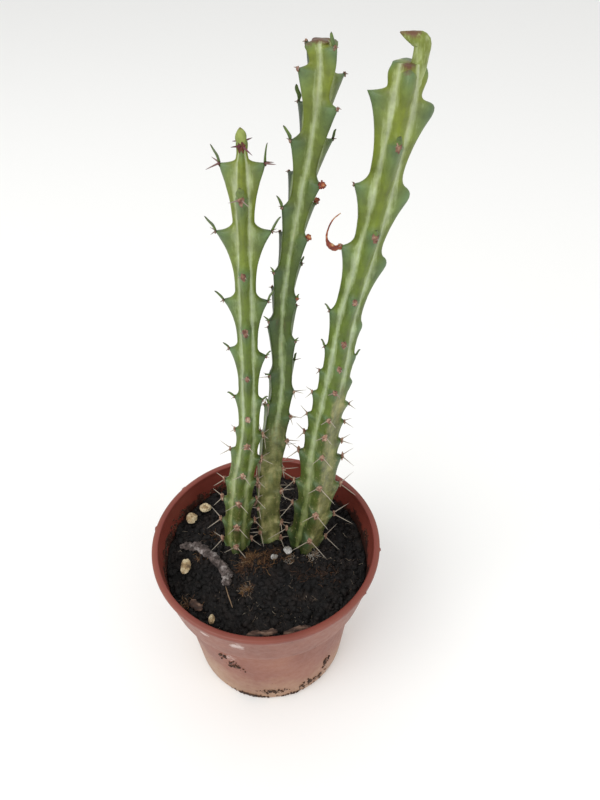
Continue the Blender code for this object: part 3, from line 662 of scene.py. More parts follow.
tans = add(tree, "ValToRGB", (mingled,), [(0.38, "#6a6c3e"), (0.5, "#888652"), (0.62, "#a8a06e")])
yellowed = add(tree, "MixRGB", (tanned, greyed, tans))
# Painted shade: the patches darken the skin, less on the pale stripes, and with it the middle
# stem's own deeper green.
on_rib = add(tree, "MapRange", (rib_place, 0.2, 0.5, 0.3, 1.0))
shaded = add(tree, "Math", (marks["shaded"], on_rib), operation="MULTIPLY")
painted_shade_and_green_tint = add(tree, "MixRGB", (shaded, "#ffffff", "#5f8040"))
with_painted_shade_and_green = add(tree, "MixRGB", (1.0, yellowed, painted_shade_and_green_tint), blend_type="MULTIPLY")
shade = add(tree, "ValToRGB", (mottle,), [(0.3, "#bcbcb8"), (0.7, "#ffffff")])
mottled = add(tree, "MixRGB", (0.9, with_painted_shade_and_green, shade), blend_type="MULTIPLY")
corky = add(tree, "ValToRGB", (specks,), [(0.61, 0.0), (0.72, 0.8)])
oldness = add(tree, "MapRange", (marks["age"], 0.45, 0.12, 0.05, 0.8))
cork = add(tree, "Math", (corky, oldness), operation="MULTIPLY")
corked = add(tree, "MixRGB", (cork, mottled, "#a3946c"))
scar_edge = add(tree, "Math", (marks["scar"], border), operation="ADD")
scarred = add(tree, "MapRange", (scar_edge, 0.2, 0.6, 0.0, 0.85))
finished = add(tree, "MixRGB", (scarred, corked, "#5c2a26"))
rough = add(tree, "Math", (specks, mottle), operation="ADD")
surface(tree, shader, finished, mottle, (0.40, 0.56), (0.4, 0.0003), rough)

# Where the skin is tan with cork: stem, the rib that the middle of the patch is nearest to, its
# width in ribs, the heights that it starts and ends at, and how strong it is.
TAN_PATCHES = (
    ("stem_right", 3.45, 0.42, -5, 84, 1.0),
    ("stem_middle", 3.5, 0.9, -5, 66, 0.7),
    ("stem_middle", 0.5, 0.9, -5, 62, 0.75),
    ("stem_left", 3.0, 0.4, -5, 22, 0.4),
)
# Where painted shade makes it dimmer and bluer (the middle stem's back-left faces, low on the right
# stem), mixed with the middle stem's own deeper green: the same values.
PAINTED_SHADE_AND_DEEP_GREEN_PATCHES = (
    ("stem_right", 2.5, 0.4, -5, 34, 0.9),
    ("stem_right", 1.0, 3.0, 30, 72, 0.25),
    ("stem_middle", 2.3, 0.55, 96, 190, 1.0),
    ("stem_middle", 1.9, 0.6, 160, 200, 1.0),
    ("stem_middle", 0.0, 3.0, 40, 128, 0.45),
    ("stem_middle", 0.0, 3.0, 118, 168, 0.3),
)
PATCH_FADE = 9.0  # height that a patch fades over at its ends
PATCH_CORE = 1.4  # a patch is full out to 0.4 of its width, and gone at 1.4
SCARS = {  # place in x, y and height above the soil, and the reach of the mark
    "stem_right": ((35.9, 1.2, 172.0), 3.4),
}
NO_SCAR = ((0, 0, -99), 1.0)
DRIED_FROM = {"stem_middle": 173.4}  # the height from which the crown's edges are dried brown
DRIED_FADE = 2.6
DRIED_TIP = 0.5  # how brown the middle of a stem's top is
top_of_all = max(stem.sections[-1].height for stem in STEMS.values())


def patch_at(patches, name, ring_place, height):
    """How far a place on a stem is inside its patches, from 0 to 1."""
    most = 0.0
    for stem_name, rib, wide, low, high, strength in patches:
        if stem_name != name:
            continue
        apart = abs((ring_place - rib + RIBS / 2) % RIBS - RIBS / 2)
        across = clamped(PATCH_CORE - apart / wide)
        inside = clamped(min(height - low, high - height) / PATCH_FADE)
        most = max(most, strength * across * inside)
    return most


for name, stem in STEMS.items():
    keys = [rib_keys(stem, rib) for rib in range(RIBS)]
    columns = RIBS * COLUMNS_PER_RIB
    points, ribs_at, reaches, ages, tans, shades, scars = [], [], [], [], [], [], []
    scar, scar_reach = SCARS.get(name, NO_SCAR)
    dried_from = DRIED_FROM.get(name, top_of_all)
    top = stem.sections[-1].height
    for ring in range((len(stem.nodes) + 1) * RINGS_PER_NODE + 1):
        at = [rib_at(key, ring, stem.flare) for key in keys]
        if name == "stem_right" and at[0][0] > SMOOTH_RIB_FROM:
            last = (len(stem.nodes) + 1) * RINGS_PER_NODE
            around = [
                rib_at(keys[0], min(last, ring + step), stem.flare)
                for step in range(-KNOB_ROUNDING, KNOB_ROUNDING + 1)
            ]
            level, swell = (sum(values) / len(around) for values in zip(*around))
            at[0] = (level, min(1.0, swell * KNOB_SWELL))
        for column in range(columns):
            rib, step = divmod(column, COLUMNS_PER_RIB)
            share = step / COLUMNS_PER_RIB
            (height_a, reach_a), (height_b, reach_b) = at[rib], at[(rib + 1) % RIBS]
            height = height_a + (height_b - height_a) * share
            section = section_at(stem, height)
            reach, nearness = (reach_a, 1 - 2 * share) if share < 0.5 else (reach_b, 2 * share - 1)
            edge = section.neck + (section.tooth - section.neck) * reach
            radius = section.groove + (edge - section.groove) * rib_fullness(nearness)
            bearing = bearing_of(stem, rib + share, height)
            out = Vector((math.cos(bearing), math.sin(bearing), 0.0))
            spot = Vector((section.x, section.y, SOIL_LEVEL + height)) + out * radius
            age = max(height, 0.0) / top
            lump = SKIN_LUMP + (CORK_LUMP - SKIN_LUMP) * max(0.0, 1 - height / CORK_TOP)
            uneven = out * lump * noise.noise(spot / LUMP_SPACING) * (1 - 0.5 * nearness)
            points.append(spot + uneven)
            ribs_at.append(nearness)
            reaches.append(reach)
            ages.append(age)
            tans.append(patch_at(TAN_PATCHES, name, rib + share, height))
            # painted shade, with the middle stem's deeper green, from its patches
            shades.append(patch_at(PAINTED_SHADE_AND_DEEP_GREEN_PATCHES, name, rib + share, height))
            away = (spot - Vector((scar[0], scar[1], SOIL_LEVEL + scar[2]))).length
            scars.append(max(0.0, 1 - away / scar_reach, (height - dried_from) / DRIED_FADE))
    rings = len(points) // columns
    faces = ring_faces(rings, columns)
    for ring, turn in ((0, -1), (rings - 1, 1)):
        rim = list(range(ring * columns, (ring + 1) * columns))
        points.append(sum((points[i] for i in rim), Vector()) / columns)
        ribs_at.append(1.0)
        reaches.append(0.0)
        ages.append(float(ring > 0))
        tans.append(0.0)
        shades.append(0.0)
        scars.append(DRIED_TIP * (ring > 0))
        for k in range(columns):
            faces.append((rim[k], rim[(k + 1) % columns], len(points) - 1)[::turn])
    new_piece(
        name + "_flesh", points, faces, skin, "stem_skin", [name],
        rib=ribs_at, reach=reaches, age=ages, tan=tans, shaded=shades, scar=scars,
    )

# The hook on the right stem's broken top: one rib that grew on past the scar.
# It is the same skin, drawn out to a blunt, curled point.
# x, height above the soil, radius
HOOK = (
    (38.0, 165.0, 1.8),
    (38.6, 169.0, 1.9),
    (39.1, 172.5, 1.8),
    (39.1, 175.0, 1.9),
    (37.3, 175.9, 1.5),
    (35.7, 176.4, 0.9),
    (34.1, 177.0, 0.15),
)
HOOK_TOP = 177.2  # the hook's head is flat on top
HOOK_STEPS = 4
HOOK_SIDES = 20
HOOK_AGE = 0.98
HOOK_BROWN = 0.45  # how brown its point is
HOOK_BROWN_FROM = 175.6  # the height that the brown starts at
HOOK_BROWN_FADE = 1.4
HOOK_BROWN_TO = 38.6  # and the x that it reaches
HOOK_PALE = 0.26  # the skin's place between groove and rib, on the hook's pale line
HOOK_PALE_SIDE = 1.2  # how far towards the front that line lies
HOOK_DARKENING = 0.2 / 1.9  # how fast its skin gets like a rib's away from the line


def smoothed(rows, steps):
    """Rows of numbers on a Catmull-Rom curve through the given rows."""
    out = []
    for i in range(len(rows) - 1):
        before, low, high = rows[max(i - 1, 0)], rows[i], rows[i + 1]
        after = rows[min(i + 2, len(rows) - 1)]
        for step in range(steps):
            t = step / steps
            out.append([
                0.5 * (2 * b + (c - a) * t + (2 * a - 5 * b + 4 * c - d) * t**2
                       + (3 * b - a - 3 * c + d) * t**3)
                for a, b, c, d in zip(before, low, high, after)
            ])
    return out + [list(rows[-1])]


hook_rows = smoothed(HOOK, HOOK_STEPS)
route = [Vector((x, RIGHT_Y, SOIL_LEVEL + height)) for x, height, _ in hook_rows]
points, faces, _ = tube_of(route, [radius for *_, radius in hook_rows], HOOK_SIDES)
for point in points:
    point.z = min(point.z, SOIL_LEVEL + HOOK_TOP)
stripe = [
    HOOK_PALE + HOOK_DARKENING * abs(point.y - RIGHT_Y + HOOK_PALE_SIDE) for point in points
]
browned = [
    HOOK_BROWN * clamped((point.z - SOIL_LEVEL - HOOK_BROWN_FROM) / HOOK_BROWN_FADE)
    * (point.x < HOOK_BROWN_TO)
    for point in points
]
even = [0.0 for _ in points]
new_piece(
    "stem_right_hook", points, faces, skin, "stem_skin", rib=stripe, reach=even,
    age=[HOOK_AGE for _ in points], tan=even, shaded=even, scar=browned,
)

# ---- The spines ----
# Each tooth ends in a small horny shield with a pair of stiff spines, which stand apart like a
# swallow's tail. The youngest are purple; the old ones near the soil are long, grey and brittle.

# (height above the soil, length of the spines)
SPINES = {
    "stem_left": (
        (0, 6.2), (30, 5.8), (52, 4.8), (61, 2.6), (70, 1.4), (100, 1.6), (125, 1.4), (140, 2.8),
        (155, 4.0),
    ),
    "stem_middle": ((0, 5.2), (40, 5.2), (72, 4.6), (84, 1.8), (100, 1.0), (174, 0.8)),
    "stem_right": ((0, 8.6), (40, 8.2), (55, 5.4), (66, 3.6), (80, 3.0), (90, 1.2), (171, 0.9)),
}
SPINE_BASE = 0.24
SPINE_SIDES = 6
# (share of the length, share of the radius at the foot)
SPINE_TAPER = ((0, 1.0), (0.15, 0.8), (0.4, 0.6), (0.7, 0.4), (0.9, 0.22), (1.0, 0.06))
LOWEST_SPINE = 1.0
BARE_FROM = 160.0  # the right stem has no spines above this height
PAD_DENT = 0.9
UPPER_YOUTH = 0.4  # how young the shields on the upper teeth look
YOUNG_FROM = 0.9  # share of the left stem's height that its young spines start at
YOUTH_RISE = 12
SPINE_SPREAD = 44.0  # degrees between a spine and the way its tooth points
SPREAD_RANGE = (-10, 10)  # and how much that varies
TILT_RANGE = (-0.24, 0.06)  # a spine's rise or fall, as a share of its length
LENGTH_RANGE = (0.8, 1.15)
BOW_RANGE = (-0.05, 0.09)
SPINE_INSET = 0.2
SPINES_APART = 0.25  # half the gap between the feet of a pair
FRONT_SWING = 0.30  # how much more upright the left spine of a front pair stands than the right
SHIELD_WIDTH = 1.3
SHIELD_LENGTH = 2.0
SHIELD_THICKNESS = 0.4
SHIELD_INSET = 0.1
SHIELD_DROP = 0.2
SHIELD_SIZES = ((0, 1.35), (50, 1.15), (75, 0.7), (120, 0.5), (175, 0.55))
FRONT_SHIELD_SIZES = ((0, 1.5), (50, 1.3), (75, 1.0), (175, 1.15))

# Horn: dull, purple-brown while young, weathering to ash grey with a brown foot.
horn, tree, shader, place = new_material("weathered_horn", ior=1.54)
along_mark = add(tree, "Attribute", attribute_name="along").outputs["Fac"]
old_horn = add(
    tree, "ValToRGB", (along_mark,),
    [(0.0, "#63473a"), (0.16, "#918271"), (0.75, "#aaa294"), (1.0, "#5a4a40")],
)
young_horn = add(tree, "ValToRGB", (along_mark,), [(0.0, "#6a2c3a"), (1.0, "#4a1c2c")])
youth_mark = add(tree, "Attribute", attribute_name="youth").outputs["Fac"]
finished = add(tree, "MixRGB", (youth_mark, old_horn, young_horn))
grain = add(tree, "TexNoise", {"Vector": place, "Scale": 1500.0, "Detail": 2.0})
surface(tree, shader, finished, grain, (0.45, 0.7), (0.3, 0.0001))

# Shield: the corky pad that carries the spines, tan to rust, dry and pitted.
shield_cork, tree, shader, place = new_material("corky_shield", ior=1.45)
grain = add(tree, "TexNoise", {"Vector": place, "Scale": 900.0, "Detail": 4.0})
old_pad = add(tree, "ValToRGB", (grain,), [(0.35, "#6a4536"), (0.52, "#96745f"), (0.68, "#bba08a")])
young_pad = add(tree, "ValToRGB", (grain,), [(0.35, "#4c241e"), (0.7, "#74442f")])
youth_mark = add(tree, "Attribute", attribute_name="youth").outputs["Fac"]
finished = add(tree, "MixRGB", (youth_mark, old_pad, young_pad))
surface(tree, shader, finished, grain, (0.7, 0.9), (0.5, 0.0002))


def between(rows, height):
    """The value at a height in rows of (height, value)."""
    if height <= rows[0][0]:
        return rows[0][1]
    for (h0, v0), (h1, v1) in zip(rows[:-1], rows[1:]):
        if height <= h1:
            return v0 + (v1 - v0) * (height - h0) / (h1 - h0)
    return rows[-1][1]


def axes_at(outward):
    """The axes of something on a tooth: across it, outward and up."""
    return Matrix((Vector((-outward.y, outward.x, 0.0)), outward, UP)).transposed()


draw = random.Random(11)
for name, stem in STEMS.items():
    spines, spine_youth, pads = [], [], []
    top = stem.sections[-1].height
    for node, heights in enumerate(stem.nodes):
        for rib in (node % 2, node % 2 + 2):
            tip, outward = tooth_of(stem, rib, node)
            height = tip.z - SOIL_LEVEL
            bare = rib == 0 and height > SMOOTH_RIB_FROM or height > BARE_FROM
            if height < LOWEST_SPINE or (name == "stem_right" and bare):
                continue
            youth = 0.0
            if name == "stem_left":
                youth = clamped((height / top - YOUNG_FROM) * YOUTH_RISE)
            axes = axes_at(outward)
            across = axes.col[0].copy()
            faces_front = rib == 3 and name != "stem_middle"
            small = between(FRONT_SHIELD_SIZES if faces_front else SHIELD_SIZES, height)
            small *= 0.85 + 0.3 * draw.random()
            sizes = (SHIELD_WIDTH / 2 * small, SHIELD_THICKNESS * small, SHIELD_LENGTH / 2 * small)
            youth = max(youth, UPPER_YOUTH * (height > SMOOTH_RIB_FROM))
            foot = tip - outward * SHIELD_INSET - UP * SHIELD_DROP
            pads.append(lump_of(foot, axes, sizes, PAD_DENT, height * 1.3, rounds=3, mark=youth))
            length = between(SPINES[name], height)
            for side in (-1, 1):
                spread = math.radians(SPINE_SPREAD + draw.uniform(*SPREAD_RANGE))
                swing = FRONT_SWING if rib == 3 else 0.1
                tilt = draw.uniform(*TILT_RANGE) - swing * side
                way = outward * math.cos(spread) + across * side * math.sin(spread) + UP * tilt
                way.normalize()
                reach = length * draw.uniform(*LENGTH_RANGE)
                bow = UP * draw.uniform(*BOW_RANGE) * reach
                start = tip - outward * SPINE_INSET + across * side * SPINES_APART
                path = [start + way * reach * t + bow * t * t for t, _ in SPINE_TAPER]
                thick = SPINE_BASE * (0.7 + 0.3 * min(1.0, length / 5)) * (1 + 0.7 * youth)
                widths = [thick * width for _, width in SPINE_TAPER]
                spines.append(tube_of(path, widths, SPINE_SIDES))
                spine_youth += [youth] * len(spines[-1][0])
    points, faces, along = joined(spines)
    new_piece(
        name + "_spines", points, faces, horn, "stem_skin", along=along, youth=spine_youth
    )
    points, faces, youths = joined(pads)
    new_piece(name + "_shields", points, faces, shield_cork, "stem_skin", youth=youths)

# ---- The leaves ----
# Small fleshy leaves that sit above the spines on the younger teeth, and drop early. Each is a
# narrow keeled blade, folded a little along its middle.

# stem, rib, node, length, lean from upright in degrees, width as a share of the length
LEAVES = (
    ("stem_left", 3, 21, 4.4, 2, 0.60),
    ("stem_left", 3, 19, 3.6, 12, 0.56),
    ("stem_left", 0, 20, 4.6, 2, 0.24),
    ("stem_left", 2, 20, 4.6, 16, 0.26),
    ("stem_left", 0, 18, 4.4, 26, 0.30),
    ("stem_left", 2, 18, 4.6, 26, 0.26),
    ("stem_left", 0, 16, 4.2, 20, 0.26),
    ("stem_left", 2, 16, 3.5, 34, 0.28),
    ("stem_left", 0, 14, 2.4, 36, 0.30),
    ("stem_left", 2, 14, 2.5, 36, 0.30),
    ("stem_left", 0, 12, 2.2, 50, 0.34),
    ("stem_left", 2, 12, 2.6, 50, 0.34),
    ("stem_middle", 0, 24, 3.0, -35, 0.34),
    ("stem_middle", 3, 21, 4.0, 22, 0.34),
    ("stem_middle", 3, 19, 3.7, 20, 0.32),
    ("stem_middle", 3, 17, 2.2, 24, 0.36),
    ("stem_middle", 3, 15, 2.8, 30, 0.36),
    ("stem_middle", 3, 13, 2.2, 55, 0.40),
    ("stem_middle", 3, 11, 3.2, 8, 0.36),
    ("stem_middle", 2, 22, 3.6, 8, 0.34),
    ("stem_middle", 1, 21, 2.2, 20, 0.36),
    ("stem_middle", 1, 17, 2.0, 24, 0.36),
    ("stem_middle", 1, 13, 2.3, 24, 0.36),
    ("stem_middle", 0, 16, 2.2, 20, 0.36),
    ("stem_middle", 0, 14, 2.0, 30, 0.36),
    ("stem_right", 2, 18, 2.4, 30, 0.40),
    ("stem_right", 2, 16, 2.6, 20, 0.44),
    ("stem_right", 0, 16, 2.4, 24, 0.40),
    ("stem_right", 3, 23, 2.6, 12, 0.48),
    ("stem_right", 3, 21, 2.4, 12, 0.48),
)
LEAF_THICKNESS = 0.7
LEAF_INSET = 0.2
LEAF_FOOT = 0.1
LEAF_ROWS = 12
LEAF_SIDES = 12
LEAF_CURL = 0.12
OVATE_FROM = 0.5  # wider leaves are egg-shaped with a point, and paler

# Leaf skin: dark olive green, slightly glossy, brown where it joins the tooth and at its tip.
leaf_skin, tree, shader, place = new_material("fleshy_leaf", ior=1.45)
along_mark = add(tree, "Attribute", attribute_name="along").outputs["Fac"]
mottle = add(tree, "TexNoise", {"Vector": place, "Scale": 500.0, "Detail": 3.0})
dark = add(tree, "ValToRGB", (mottle,), [(0.3, "#435528"), (0.7, "#627735")])
light = add(tree, "ValToRGB", (mottle,), [(0.3, "#6d7a35"), (0.7, "#909c50")])
wide_mark = add(tree, "Attribute", attribute_name="wide").outputs["Fac"]
blade = add(tree, "MixRGB", (wide_mark, dark, light))
browned = add(
    tree, "ValToRGB", (along_mark,),
    [(0.0, "#8a7a50"), (0.12, "#ffffff"), (0.82, "#ffffff"), (1.0, "#a08058")],
)
finished = add(tree, "MixRGB", (1.0, blade, browned), blend_type="MULTIPLY")
surface(tree, shader, finished, mottle, (0.34, 0.5), (0.25, 0.0001))

draw = random.Random(5)
count_on = {name: 0 for name in STEMS}
for stem_name, rib, node, length, lean, width_share in LEAVES:
    count_on[stem_name] += 1
    tip, outward = tooth_of(STEMS[stem_name], rib, node)
    tilt = math.radians(lean)
    along = UP * math.cos(tilt) + outward * math.sin(tilt)
    across = outward.cross(along).normalized()
    face = along.cross(across)
    foot = tip - outward * LEAF_INSET + UP * LEAF_FOOT
    sway = draw.uniform(-0.08, 0.08)
    points, marks = [], []
    for row in range(LEAF_ROWS + 1):
        t = row / LEAF_ROWS
        even = min(1.0, 0.45 + 2.2 * t) * math.sqrt(max(0.0, 1 - t**5))
        ovate = math.sin(math.pi * (0.16 + 0.84 * t)) ** 0.8 if t < 1 else 0.0
        outline = (ovate if width_share > OVATE_FROM else even) + 0.03
        half = length * width_share / 2 * outline
        thick = LEAF_THICKNESS / 2 * (1 - 0.75 * t)
        middle = foot + along * length * t + face * LEAF_CURL * length * t * t
        middle += across * sway * length * math.sin(math.tau * t)
        for k in range(LEAF_SIDES):
            turn = math.tau * k / LEAF_SIDES
            fold = 0.35 * half * abs(math.cos(turn)) ** 2
            points.append(
                middle + across * half * math.cos(turn) + face * (thick * math.sin(turn) - fold)
            )
            marks.append(t)
    faces = tube_faces(LEAF_ROWS + 1, LEAF_SIDES)
    node_name = f"leaf_{stem_name[5:]}_{count_on[stem_name]}"
    wide = [(1.0 if length > 4 else 0.35) * (width_share > OVATE_FROM)] * len(points)
    new_piece(
        node_name + "_blade", points, faces, leaf_skin, "leaf", [node_name], along=marks, wide=wide
    )

# ---- The withered leaf ----
# A leaf on the right stem that dried and curled into a thread, with a swollen callus where the
# tooth healed. Smaller calluses stand on the middle stem's broken teeth.

# (out from the tooth's tip, up, radius)
WITHERED_LEAF = (
    (0.3, -0.5, 0.5),
    (1.2, -0.9, 0.75),
    (2.3, -0.3, 0.8),
    (3.1, 0.9, 0.5),
    (3.4, 2.6, 0.26),
    (2.9, 5.0, 0.2),
    (1.8, 7.2, 0.17),
    (0.0, 8.8, 0.14),
)
WITHERED_RIB, WITHERED_NODE = 2, 20
WITHERED_GAP = 0.3  # from its tooth
WITHERED_STEPS = 6
WITHERED_SIDES = 14
WRINKLE = 0.28  # share of the radius that a wrinkle stands out
WRINKLES = 1.7  # to a millimetre

# Dried leaf and callus: rust brown with cream and blood-red patches, wrinkled and dull.
dried, tree, shader, place = new_material("dried_callus", ior=1.45)
patch = add(tree, "TexNoise", {"Vector": place, "Scale": 520.0, "Detail": 4.0, "Distortion": 0.6})
finished = add(
    tree, "ValToRGB", (patch,),
    [(0.3, "#54201a"), (0.45, "#7c3624"), (0.6, "#9c5a34"), (0.72, "#c9ad86")],
)
surface(tree, shader, finished, patch, (0.5, 0.75), (0.5, 0.0003))

tip, outward = tooth_of(STEMS["stem_right"], WITHERED_RIB, WITHERED_NODE)
rows = smoothed(WITHERED_LEAF, WITHERED_STEPS)
route = [tip + outward * (out + WITHERED_GAP) + UP * up for out, up, _ in rows]
points, faces, _ = tube_of(route, [radius for *_, radius in rows], WITHERED_SIDES)
middles = [route[i // WITHERED_SIDES] for i in range(len(points))]
points = [
    centre + (point - centre) * (1 + WRINKLE * noise.noise(point * WRINKLES))
    for point, centre in zip(points, middles)
]
new_piece("withered_leaf_curl", points, faces, dried, "withered_leaf", ["withered_leaf"])

# stem, rib, node, half size, and how far it stands out and up from its tooth's tip
CALLUSES = (
    ("stem_right", 2, 20, 0.8, 0.1, -0.5),
    ("stem_middle", 0, 20, 1.0, 0.0, 0.2),
    ("stem_middle", 1, 19, 0.9, 0.1, 0.3),
    ("stem_middle", 0, 18, 0.8, 0.0, 0.5),
    ("stem_middle", 0, 16, 0.5, 0.0, 0.2),
)
CALLUS_DENT = 0.9
bodies = []
for stem_name, rib, node, half, out, up in CALLUSES:
    tip, outward = tooth_of(STEMS[stem_name], rib, node)
    centre = tip + outward * out + UP * up
    sizes = (half * 0.7, half, half * 0.85)
    axes = axes_at(outward)
    bodies.append(lump_of(centre, axes, sizes, CALLUS_DENT, half * 7 + node, rounds=3))
points, faces, _ = joined(bodies)
new_piece("healed_calluses", points, faces, dried, "withered_leaf")

# ---- The soil ----
# Peat compost, damp and nearly black: a lumpy bed with thousands of loose crumbs on it and many
# short pale fibres. It fills the pot to a finger's breadth below the rim.

SOIL_GAP = 0.3
SOIL_RADIUS = inner_radius(SOIL_LEVEL) - SOIL_GAP
# (x, y, height, spread), where x, y and spread are shares of the soil's radius
SOIL_MOUNDS = (
    (-0.10, -0.16, 2.6, 0.23),
    (0.55, -0.29, 1.6, 0.23),
    (0.00, 0.78, 3.0, 0.37),
    (0.86, 0.10, -2.4, 0.21),
    (-0.78, -0.21, -1.2, 0.23),
    (0.21, -0.65, -1.0, 0.26),
)
SOIL_LUMP = 0.5
SOIL_LUMP_SPACING = 6.0
CLOD_LUMP = 1.3
CLOD_SPACING = 3.4
GRIT_LUMP = 0.55
GRIT_SPACING = 1.0
SOIL_SIDES = 300
SOIL_ROWS = 110


def soil_height(x, y):
    """The height of the bed's broad shape at a place."""
    height = SOIL_LEVEL
    for mound_x, mound_y, rise, spread in SOIL_MOUNDS:
        away = ((x / SOIL_RADIUS - mound_x) ** 2 + (y / SOIL_RADIUS - mound_y) ** 2) / spread**2
        height += rise * math.exp(-away)
    lump = noise.noise(Vector((x, y, 0.0)) / SOIL_LUMP_SPACING)
    return height + SOIL_LUMP * lump


def soil_top(x, y):
    """The height of the bed's top with its clods and grit."""
    spot = Vector((x, y, 7.0))
    clod = noise.noise(spot / CLOD_SPACING)
    grit = noise.noise(spot / GRIT_SPACING)
    return soil_height(x, y) + CLOD_LUMP * (2 * abs(clod) - 0.4) + GRIT_LUMP * grit


# Peat: black-brown when damp, matt, with a little gloss on wet grains and browner dry lumps.
peat, tree, shader, place = new_material("damp_peat", ior=1.4)
lump = add(tree, "TexNoise", {"Vector": place, "Scale": 180.0, "Detail": 5.0, "Roughness": 0.65})
grit = add(tree, "TexNoise", {"Vector": place, "Scale": 1400.0, "Detail": 3.0, "Roughness": 0.7})
dark = add(
    tree, "ValToRGB", (lump,),
    [(0.3, "#080707"), (0.5, "#100d0c"), (0.66, "#1e1714"), (0.78, "#32261d")],
)
light = add(tree, "ValToRGB", (grit,), [(0.66, 0.0), (0.76, 0.4)])
finished = add(tree, "MixRGB", (light, dark, "#5b4a3a"))
surface(tree, shader, finished, grit, (0.95, 0.6), (0.9, 0.0005))

points = []
for bearing_step in range(SOIL_SIDES):
    bearing = math.tau * bearing_step / SOIL_SIDES
    cos, sin = math.cos(bearing), math.sin(bearing)
    edge_height = soil_height(SOIL_RADIUS * cos, SOIL_RADIUS * sin)
    edge = inner_radius(edge_height) - SOIL_GAP
    for row in range(SOIL_ROWS + 1):
        share = (row / SOIL_ROWS) ** 0.75
        x, y = edge * share * cos, edge * share * sin
        points.append((x, y, soil_top(x, y)))
    for radius, height in reversed(INNER_PROFILE[1:5]):
        level = max(height, FLOOR + SOIL_GAP)
        if level < SOIL_LEVEL - SOIL_GAP:
            points.append(((radius - SOIL_GAP) * cos, (radius - SOIL_GAP) * sin, level))
rows = len(points) // SOIL_SIDES
faces = []
for side in range(SOIL_SIDES):
    here, there = side * rows, (side + 1) % SOIL_SIDES * rows
    for row in range(rows - 1):
        if row:
            faces.append((here + row, here + row + 1, there + row + 1, there + row))
        else:
            faces.append((0, here + 1, there + 1))
faces.append(tuple(side * rows + rows - 1 for side in range(SOIL_SIDES))[::-1])
for side in range(1, SOIL_SIDES):
    points[side * rows] = points[0]
bed = new_piece("peat_bed", points, faces, peat, "potting_soil", ["soil"])
bm = bmesh.new()
bm.from_mesh(bed.data)
bmesh.ops.delete(bm, geom=[vert for vert in bm.verts if not vert.link_faces], context="VERTS")
bmesh.ops.recalc_face_normals(bm, faces=bm.faces)
bm.to_mesh(bed.data)
bm.free()

CRUMBS = 5200
CRUMB_DENT = 0.9
CRUMB_RANGE = (0.6, 1.2)  # how far a crumb's sizes differ from its own half size
CRUMB_LIFT = 0.25  # share of its half size that its middle lies above the soil


def strewn(draw, reach):
    """A place on the soil, as likely anywhere within a share of its radius."""
    bearing, far = draw.uniform(0, math.tau), SOIL_RADIUS * reach * math.sqrt(draw.random())
    return far * math.cos(bearing), far * math.sin(bearing)


draw = random.Random(23)
bodies = []
for _ in range(CRUMBS):
    x, y = strewn(draw, 0.985)
    half = 0.16 + 1.3 * draw.random() ** 5
    turn = draw.uniform(0, math.tau)
    turned = Matrix.Rotation(turn, 3, Vector((draw.random(), draw.random(), 1.0)))
    sizes = [half * draw.uniform(*CRUMB_RANGE) for _ in range(3)]
    centre = Vector((x, y, soil_top(x, y) + half * CRUMB_LIFT))
    bodies.append(lump_of(centre, turned, sizes, CRUMB_DENT, draw.uniform(0, 50), rounds=1))
points, faces, _ = joined(bodies)
new_piece("peat_crumbs", points, faces, peat, "potting_soil")

# Loose fibres of moss and coir in the peat, thin and short, drawn a little thicker than life so
# that they show. Bleached straw to brown.
fibre, tree, shader, place = new_material("bleached_moss_fibre", ior=1.5)
shade_mark = add(tree, "Attribute", attribute_name="shade").outputs["Fac"]
finished = add(
    tree, "ValToRGB", (shade_mark,),
    [(0.0, "#2a1e17"), (0.5, "#57463a"), (0.8, "#7d6d5c"), (1.0, "#b5a994")],
)
grain = add(tree, "TexNoise", {"Vector": place, "Scale": 1200.0})
surface(tree, shader, finished, grain, (0.7, 0.95))

FIBRES = 1500
FIBRE_PATCH = 9.0  # the fibres lie in patches about this far apart
FIBRE_STEPS = 4
FIBRE_SIDES = 4
FIBRE_LIFT = 0.25
FIBRE_RADII = (0.03, 0.07)
SHORTEST_FIBRE = 3  # points, once those over the wall are left off
draw = random.Random(31)
bodies = []
for _ in range(FIBRES):
    x, y = strewn(draw, 0.97)
    heading, length = draw.uniform(0, math.tau), 0.5 + 2.4 * draw.random() ** 3
    bend, lift = draw.uniform(-0.8, 0.8), draw.uniform(0.1, 0.5)
    if noise.noise(Vector((x, y, 3.0)) / FIBRE_PATCH) + 0.25 * draw.random() < 0.05:
        continue
    route = []
    for i in range(FIBRE_STEPS + 1):
        t = i / FIBRE_STEPS
        aim = heading + bend * t
        px, py = x + length * t * math.cos(aim), y + length * t * math.sin(aim)
        if math.hypot(px, py) > SOIL_RADIUS * 0.98:
            break
        route.append(Vector((px, py, soil_top(px, py) + FIBRE_LIFT + lift * math.sin(math.pi * t))))
    if len(route) < SHORTEST_FIBRE:
        continue
    thick = draw.uniform(*FIBRE_RADII)
    bodies.append(tube_of(route, [thick] * len(route), FIBRE_SIDES, draw.random()))
points, faces, shades = joined(bodies)
new_piece("peat_fibres", points, faces, fibre, "potting_soil", shade=shades)

